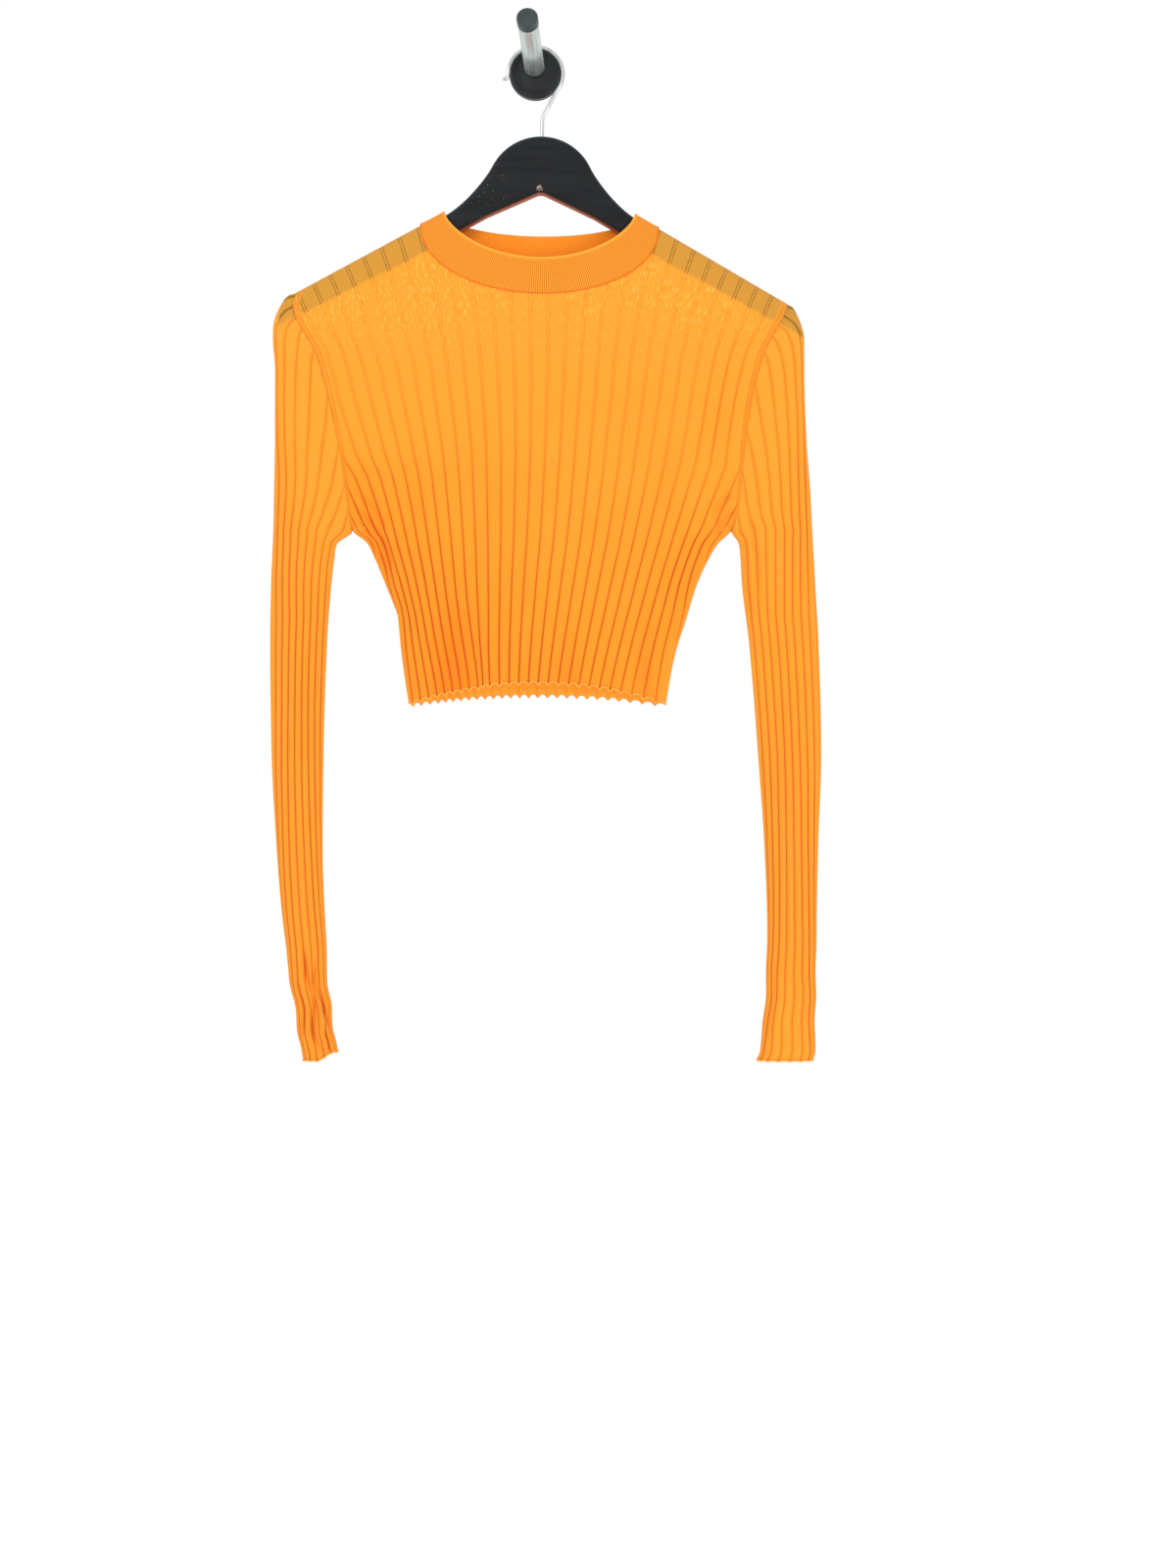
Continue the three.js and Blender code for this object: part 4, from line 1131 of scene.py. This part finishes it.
def spun(name, profile, sides, tilted):
    """A solid of revolution from (radius, distance from the wall) pairs."""
    radius, reach = (np.repeat(column, sides) for column in np.array(profile).T)
    around = np.tile(np.arange(sides) / sides, len(profile))
    angle = 2 * math.pi * around
    x, y, z = radius * np.sin(angle), -reach, radius * np.cos(angle)
    if tilted:
        y, z = turned_by(y, z, PEG_TILT)
        x, y = turned_by(x, y, PEG_YAW)
    faces = ring_faces(len(profile), sides, False, flip=True)
    faces += [list(range(sides)), list(range(len(x) - sides, len(x)))]
    return faced_out(as_object(name, np.stack([x, y, z], -1), faces, {"around": around, "reach": reach}))


def rounded(radius, end, e, steps=6):
    turn = np.linspace(0, math.pi / 2, steps + 1)
    return [(radius - e + e * math.cos(t), end - e + e * math.sin(t)) for t in turn]


plate_piece = spun("peg_plate_disc", [(20.6, 0.0), (21.6, 0.8)] + rounded(21.6, 8.0, 2.0)
                   + [(18.2, 8.0), (17.6, 7.6), (12.0, 7.6), (11.0, 8.0), (0.6, 8.0)], 96, False)
rod_piece = spun("peg_rod_plated", [(8.3, 11.2), (8.3, 40.0), (8.3, 70.2), (8.0, 70.9), (0.6, 71.0)],
                 64, True)
cap_piece = spun("peg_cap_moulded", [(8.0, 71.3), (8.6, 71.9), (8.6, 78.5)]
                 + rounded(8.6, 81.0, 1.8) + [(4.0, 81.0), (0.6, 81.0)], 64, True)
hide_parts("peg_plate")
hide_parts("peg_rod")
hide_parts("peg_cap")
print("peg pieces", [p.name for p in (plate_piece, rod_piece, cap_piece)])

# %% [markdown]
# ## Sums on a material's sockets
# A finish is mostly arithmetic: how far a point is from a furrow, and how much of one colour goes with
# that. A small class lets Python's own operators lay down the Math nodes, so a mask reads as a sum.

# %% Sums on sockets
class Flow:
    """An output socket. Operators on it add Math nodes."""
    def __init__(self, finish, socket):
        self.finish, self.socket = finish, socket

    def sum(self, operation, *values):
        return self.finish.node("Math", {"operation": operation}, dict(enumerate(values)))

    def __add__(self, other):
        return self.sum("ADD", self, other)

    def __sub__(self, other):
        return self.sum("SUBTRACT", self, other)

    def __rsub__(self, other):
        return self.sum("SUBTRACT", other, self)

    def __mul__(self, other):
        return self.sum("MULTIPLY", self, other)

    def __truediv__(self, other):
        return self.sum("DIVIDE", self, other)

    def __pow__(self, other):
        return self.sum("POWER", self, other)

    __radd__, __rmul__ = __add__, __mul__

    def fract(self):
        return self.sum("FRACT", self)

    def size(self):
        return self.sum("ABSOLUTE", self)

    def step(self, start, end):
        """0 below start and 1 above end, smooth between; the other way about if end is less."""
        low, high, out = (start, end, (0.0, 1.0)) if start < end else (end, start, (1.0, 0.0))
        return self.finish.node("MapRange", {"interpolation_type": "SMOOTHSTEP"},
                                {"Value": self, "From Min": low, "From Max": high,
                                 "To Min": out[0], "To Max": out[1]})

    def blend(self, here, there):
        """The colour here where this is 0, and there where it is 1."""
        return self.finish.node("Mix", {"data_type": "RGBA"}, {0: self, 6: here, 7: there}, 2)


class Finish:
    """A material, its surface shader, and one way to add any other node."""
    def __init__(self, name, **surface):
        self.material = bpy.data.materials.new(name)
        self.material.use_nodes = True
        self.tree = self.material.node_tree
        self.surface = self.tree.nodes["Principled BSDF"]
        self.set(**surface)

    def node(self, kind, settings=None, values=None, output=0):
        made = self.tree.nodes.new("ShaderNode" + kind)
        for key, value in (settings or {}).items():
            setattr(made, key, value)
        for key, value in (values or {}).items():
            self.feed(made.inputs[key], value)
        return Flow(self, made.outputs[output])

    def feed(self, socket, value):
        if isinstance(value, Flow):
            self.tree.links.new(value.socket, socket)
        else:
            socket.default_value = value

    def set(self, **surface):
        for key, value in surface.items():
            self.feed(self.surface.inputs[key.replace("_", " ")], value)

    def number(self, name):
        return self.node("Attribute", {"attribute_name": name}, output="Fac")

    def place(self):
        return self.node("TexCoord", output="Object")

    def noise(self, where, scale, detail=2.0, rough=0.5):
        return self.node("TexNoise", None, {"Vector": where, "Scale": scale, "Detail": detail,
                                            "Roughness": rough})

    def vector(self, *parts):
        return self.node("CombineXYZ", None, dict(enumerate(parts)))

    def relief(self, height, distance, strength=1.0):
        """Feeds a height, as a share of distance in metres, to the normal."""
        self.set(Normal=self.node("Bump", None, {"Height": height, "Distance": distance,
                                                 "Strength": strength}))


def rgb(red, green, blue):
    """A colour given in the usual 0 to 255 numbers, as the light it sends back."""
    def light(v):
        v /= 255
        return v / 12.92 if v <= 0.04045 else ((v + 0.055) / 1.055) ** 2.4
    return (light(red), light(green), light(blue), 1.0)


def wear(piece, finish):
    piece.data.materials.clear()
    piece.data.materials.append(finish.material)


# %% [markdown]
# ## The knit's finish
# The yarn is a clear orange. Shade is painted into its colour: a deeper, redder orange down in the
# furrows, and in the troughs of creases and waves, is painted shade, where light bounces from side to
# side. Where the shoulders stretch it, the knit opens and is painted lighter and yellower, painted light
# that comes through it from behind. Where the dark hanger lies behind and blocks that light, it is
# painted olive, a painted shade. Each furrow splits into two fine lines of painted shade, and small gaps
# between the stitches catch light as flecks of painted light. The inside faces are painted lighter and
# glow, a painted light. The stitches are small V shapes in columns, and they go into the bump, because
# they are far finer than the mesh.

# %% Make the rib knit
STITCH_TALL = 0.95


def knit_finish(name, open_colour, closed_colour, furrow_shade_colour, wales, furrow, fades):
    # Emission lights only the inside faces, set below: a painted glow.
    knit = Finish(name, Roughness=0.92, Sheen_Weight=0.1, Sheen_Roughness=0.5,
                  Specular_IOR_Level=0.12, Emission_Strength=0.3)
    rib, down, pitch = knit.number("rib"), knit.number("down"), knit.number("pitch")
    opened, wood, inside = knit.number("opened"), knit.number("wood"), knit.number("inside")
    where = knit.place()
    away = (rib.fract() - 0.5).size() * pitch
    narrow = pitch.step(0.0, 9.0) + 0.45
    # Masks of the painted shade in the furrows: one dark line in a closed furrow, two fine lines at the
    # walls of an opened one.
    single = away.step(furrow, 0.12) * opened.step(fades, fades - 0.7) * narrow.step(0.5, 0.95)
    double = (away - 1.2).size().step(0.55, 0.12) * opened.step(0.4, 0.8)
    uneven = knit.noise(knit.vector(rib * 3.1, down * 0.3, 0.0), 1.0, 2.0).step(0.25, 0.6)
    strip = knit.number("strip")
    edge = (strip - 0.8).size().step(0.14, 0.04) * 0.9 + strip.step(0.8, 0.5) * 0.25
    line = single * 0.9 + double * uneven * 0.6
    cloud = knit.noise(where, 14.0, 2.0).step(0.3, 0.7)
    # Stretched knit is painted lighter and yellower: painted light that comes through it from behind. The
    # cloud noise is a random tone.
    spread = (opened * 1.3 + cloud * 0.25 - 0.1).step(0.0, 1.0)
    ground = spread.blend(rgb(*closed_colour), rgb(*open_colour))
    # Painted shade: a deeper, redder orange in the troughs of creases and waves.
    ground = (knit.number("deep") * 0.6).blend(ground, rgb(240, 120, 22))
    # Flecks: the light ones are painted light that comes through gaps between the stitches; the others are
    # a darker tone.
    fleck = knit.noise(knit.vector(rib * 15.0 + down * 0.05, down * 0.16, 0.0), 1.0, 2.0, 0.5)
    patch = (knit.noise(where, 18.0, 1.0).step(0.3, 0.6) * 0.6 + 0.4) * down.step(265, 190)
    light = fleck.step(0.52, 0.66) * opened.step(0.2, 0.65) * patch
    dark = fleck.step(0.46, 0.34) * opened.step(0.2, 0.65) * patch
    flecked = (light * 0.55).blend((dark * 0.35).blend(ground, rgb(228, 142, 38)), rgb(255, 196, 96))
    seam = edge.blend(flecked, rgb(226, 118, 24))
    # Painted shade where the hanger blocks the light through the knit: olive, darker still along the
    # furrows.
    olive = (single * 0.8 + double * (uneven * 0.4 + 0.4)).blend(rgb(203, 142, 52), rgb(88, 70, 34))
    # The furrows' painted shade: a deeper, redder orange.
    furrow_shade = narrow.step(0.5, 1.1).blend(rgb(236, 130, 32), rgb(*furrow_shade_colour))
    with_furrow_shade = (line * 0.9).blend(seam, opened.blend(furrow_shade, rgb(208, 116, 24)))
    wood = wood * (1 - strip.step(1.3, 0.9) * 0.65)
    # Inside faces are painted lighter and given an orange emission: painted light, a glow.
    knit.set(Base_Color=inside.blend(wood.blend(with_furrow_shade, olive), rgb(250, 158, 52)),
             Emission_Color=inside.blend((0.0, 0.0, 0.0, 1.0), rgb(250, 150, 44)))
    wale = (rib * wales).fract() - 0.5
    course = (down / STITCH_TALL + wale.size() * 0.8).fract() - 0.5
    stitch = (1 - wale.size() * 2) ** 0.6 * (1 - (course * 2) ** 2)
    knit.relief(stitch, 0.00022, 0.7)
    return knit


# Colours: stretched knit, painted lighter for the light through it; relaxed knit; the painted shade in the
# furrows.
body_finish = knit_finish("rib_knit_body", (239, 153, 45), (239, 144, 36), (220, 102, 16),
                          7.0, 0.95, 1.0)
sleeve_finish = knit_finish("rib_knit_sleeve", (240, 154, 46), (239, 149, 43), (214, 98, 16),
                            5.0, 0.8, 2.0)
for piece in (front_knit, back_knit):
    wear(piece, body_finish)
for piece in (left_knit, right_knit):
    wear(piece, sleeve_finish)

# %% [markdown]
# The band is denser, so nothing shows through it, and it looks a shade redder. Its fine furrows come
# from the mesh, and painted shade in the colour deepens them. Its round rim is painted lighter, a painted
# highlight, and the seam under the band is painted darker, the band's painted shadow.

# %% Make the band's knit, the seams and the beads
band_finish = Finish("band_knit_fine", Roughness=0.92, Sheen_Weight=0.12, Sheen_Roughness=0.5,
                     Specular_IOR_Level=0.15)
band_rib, band_up = band_finish.number("rib"), band_finish.number("up")
# Mask of the painted shade in the band's furrows.
furrow = (band_rib.fract() - 0.5).size().step(0.34, 0.06)
rim = band_up.step(0.9, 0.97)
band_colour = (furrow * (1 - rim)).blend(rgb(238, 154, 46), rgb(200, 104, 24))
# Painted highlight: the round rim at the top is painted lighter.
band_colour = (rim * 0.6).blend(band_colour, rgb(240, 160, 60))
band_finish.set(Base_Color=band_finish.number("inside").blend(band_colour, rgb(238, 142, 34)))
band_finish.relief((band_up * 30).fract().step(0.0, 0.5), 0.0001, 0.4)
wear(band_knit, band_finish)


def yarn_finish(name, colour, twist):
    yarn = Finish(name, Roughness=0.9, Sheen_Weight=0.1, Specular_IOR_Level=0.15)
    loop = (yarn.number("down") * twist).fract()
    shade = (loop - 0.5).size().step(0.1, 0.45)
    yarn.set(Base_Color=(shade * 0.5).blend(rgb(*colour), rgb(*[c * 0.9 for c in colour])))
    yarn.relief(1 - shade, 0.0003, 0.6)
    return yarn


bead_finish = yarn_finish("edge_bead_yarn", (250, 166, 60), 0.7)
cord_finish = yarn_finish("seam_yarn", (238, 142, 38), 0.6)
# The seam under the band is painted darker and redder: the band's painted shadow.
band_seam_shade = yarn_finish("band_seam_painted_shade", (238, 128, 28), 0.6)
for piece in [hem_bead] + cuff_beads:
    wear(piece, bead_finish)
for piece in seam_cords:
    wear(piece, cord_finish)
wear(band_cord, band_seam_shade)

# %% [markdown]
# ## Painted wood, plated steel and moulded plastic
# The hanger's black paint has been knocked: pale specks show along it, most of all at the notch under
# the hump and on its left half. Its faces that turn down are painted orange, painted light bounced up
# from below, and its faces that turn up are painted pale blue, a painted highlight. The rod and the wire
# are plated and drawn lengthwise, so their gloss has fine streaks. The plate and the cap are moulded
# black plastic with a soft gloss.

# %% Make the hard finishes
wood = Finish("black_paint_on_wood", Roughness=0.5, Specular_IOR_Level=0.18)
spot = wood.place()
specks = wood.noise(spot, 900.0, 2.0, 0.6).step(0.69, 0.73)
where_worn = wood.noise(spot, 28.0, 3.0).step(0.45, 0.62)
left_half = wood.number("across").step(30.0, -60.0)
beside, below = wood.number("across") + 1.0, wood.number("above") + 43.0
at_notch = (beside * beside + below * below).step(16.0, 1.0)
notch_wear = (at_notch * 0.35 + wood.noise(spot, 650.0, 3.0, 0.7)).step(0.72, 0.98) * 0.7
chips = specks * where_worn * (left_half * 0.9 + 0.1)
grain = wood.noise(wood.node("Mapping", None, {"Vector": spot, "Scale": (8.0, 60.0, 160.0)}), 1.0, 3.0)
paint = grain.step(0.3, 0.75).blend(rgb(17, 19, 21), rgb(27, 30, 33))
worn = chips.blend(paint, rgb(150, 150, 148))
turned = wood.number("turned")
# Painted light: faces turned down are painted orange, light bounced from below.
painted_bounce_light = (turned.step(-0.6, -0.97) * 0.5).blend(worn, rgb(214, 128, 92))
# Painted highlight: faces turned up are painted pale blue.
painted_top_highlight = (turned.step(0.3, 0.9) * 0.3).blend(painted_bounce_light, rgb(96, 128, 150))
wood.set(Base_Color=notch_wear.blend(painted_top_highlight, rgb(190, 172, 156)), Roughness=0.42 + grain * 0.2)
wood.relief(grain - chips, 0.0002, 0.5)
wear(hanger_piece, wood)

chrome = Finish("plated_rod", Metallic=1.0, Roughness=0.25)
streak = chrome.noise(chrome.vector(chrome.number("around") * 40, chrome.number("reach") * 0.03, 0.0),
                      1.0, 3.0)
chrome.set(Base_Color=streak.step(0.3, 0.7).blend(rgb(182, 192, 192), rgb(214, 222, 222)),
           Roughness=0.36 + streak * 0.2)
wear(rod_piece, chrome)
wire = Finish("hook_wire_zinc", Metallic=1.0, Roughness=0.3)
draw = wire.noise(wire.node("Mapping", None, {"Vector": wire.place(), "Scale": (250.0, 250.0, 30.0)}),
                  1.0, 2.0)
wire.set(Base_Color=draw.step(0.3, 0.7).blend(rgb(176, 178, 178), rgb(208, 210, 210)),
         Roughness=0.26 + draw * 0.14)
wear(hook_piece, wire)


def plastic(name, colour, light):
    made = Finish(name, Roughness=0.4, Specular_IOR_Level=0.25)
    fine = made.noise(made.place(), 1500.0, 2.0)
    broad = made.noise(made.place(), 60.0, 2.0)
    made.set(Base_Color=broad.step(0.3, 0.7).blend(rgb(*colour), rgb(*light)),
             Roughness=0.34 + broad * 0.16)
    made.relief(fine, 0.00005, 0.6)
    return made


wear(plate_piece, plastic("peg_plate_plastic", (26, 27, 29), (38, 40, 42)))
wear(cap_piece, plastic("peg_cap_plastic", (48, 57, 59), (60, 70, 72)))

# %% [markdown]
# Each knitted piece is cloth, so its cut size is printed: how wide and how long it is laid flat, and the
# share of that rectangle which it fills, beside the area that is measured here on the finished piece. The
# share is given to bring the cut near that area.

# %% The cut size of each piece
def cloth(piece, width, length, share):
    """Prints a piece's area, measured on its mesh, beside the cut from a width by length, in metres, of
    which it fills a share.
    """
    cut = share * width * length
    both_faces = sum(face.area for face in piece.data.polygons)
    print(piece.name, "measures", round(both_faces / 2, 4), "m2 and is cut to", round(cut, 4), "m2")


cloth(front_knit, 0.402, 0.391, 0.74)
cloth(back_knit, 0.402, 0.391, 0.77)
cloth(left_knit, 0.143, 0.627, 0.80)
cloth(right_knit, 0.145, 0.618, 0.85)
cloth(band_knit, 0.493, 0.030, 0.88)

# %% [markdown]
# ## The room
# The sweater hangs high over a plain pale floor, in soft light from all round. A large panel of light
# up and to the left gives the ribs a bright side, and a weaker one low on the right keeps the furrows
# open. The camera looks level at the middle of the garment.

# %% Floor, lights and camera
FLOOR_SIDE, FLOOR_Z = 3.0, -1.75


def floor():
    corners = [(-1, -1), (1, -1), (1, 1), (-1, 1)]
    mesh = bpy.data.meshes.new("floor")
    mesh.from_pydata([(x * FLOOR_SIDE, y * FLOOR_SIDE, FLOOR_Z) for x, y in corners], [], [(0, 1, 2, 3)])
    made = linked("floor", mesh)
    pale = Finish("pale_floor", Roughness=0.8, Base_Color=rgb(240, 240, 238),
                  Emission_Color=rgb(255, 255, 255), Emission_Strength=0.12)
    made.data.materials.append(pale.material)


def panel_light(name, place, aim, size, power):
    light = bpy.data.lights.new(name, "AREA")
    light.shape, light.size, light.energy = "DISK", size, power
    lamp = linked(name, light)
    lamp.location = place
    lamp.rotation_euler = (Vector(aim) - Vector(place)).to_track_quat("-Z", "Y").to_euler()


floor()
panel_light("key", (-1.3, -1.6, 0.5), (0.0, 0.0, -0.4), 0.9, 12.0)
panel_light("fill", (1.6, -1.3, -0.7), (0.0, 0.0, -0.4), 1.2, 9.0)
world = bpy.data.worlds.new("studio")
bpy.context.scene.world = world
world.use_nodes = True
world.node_tree.nodes["Background"].inputs["Color"].default_value = (1, 1, 1, 1)
world.node_tree.nodes["Background"].inputs["Strength"].default_value = 1.0
bpy.context.scene.view_settings.view_transform = "Standard"

camera = linked("camera", bpy.data.cameras.new("camera"))
camera.location = (0.0434, -1.775, -0.5867)
camera.rotation_euler = (math.pi / 2, 0, 0)
camera.data.sensor_width, camera.data.lens = 36.0, 49.22
bpy.context.scene.camera = camera
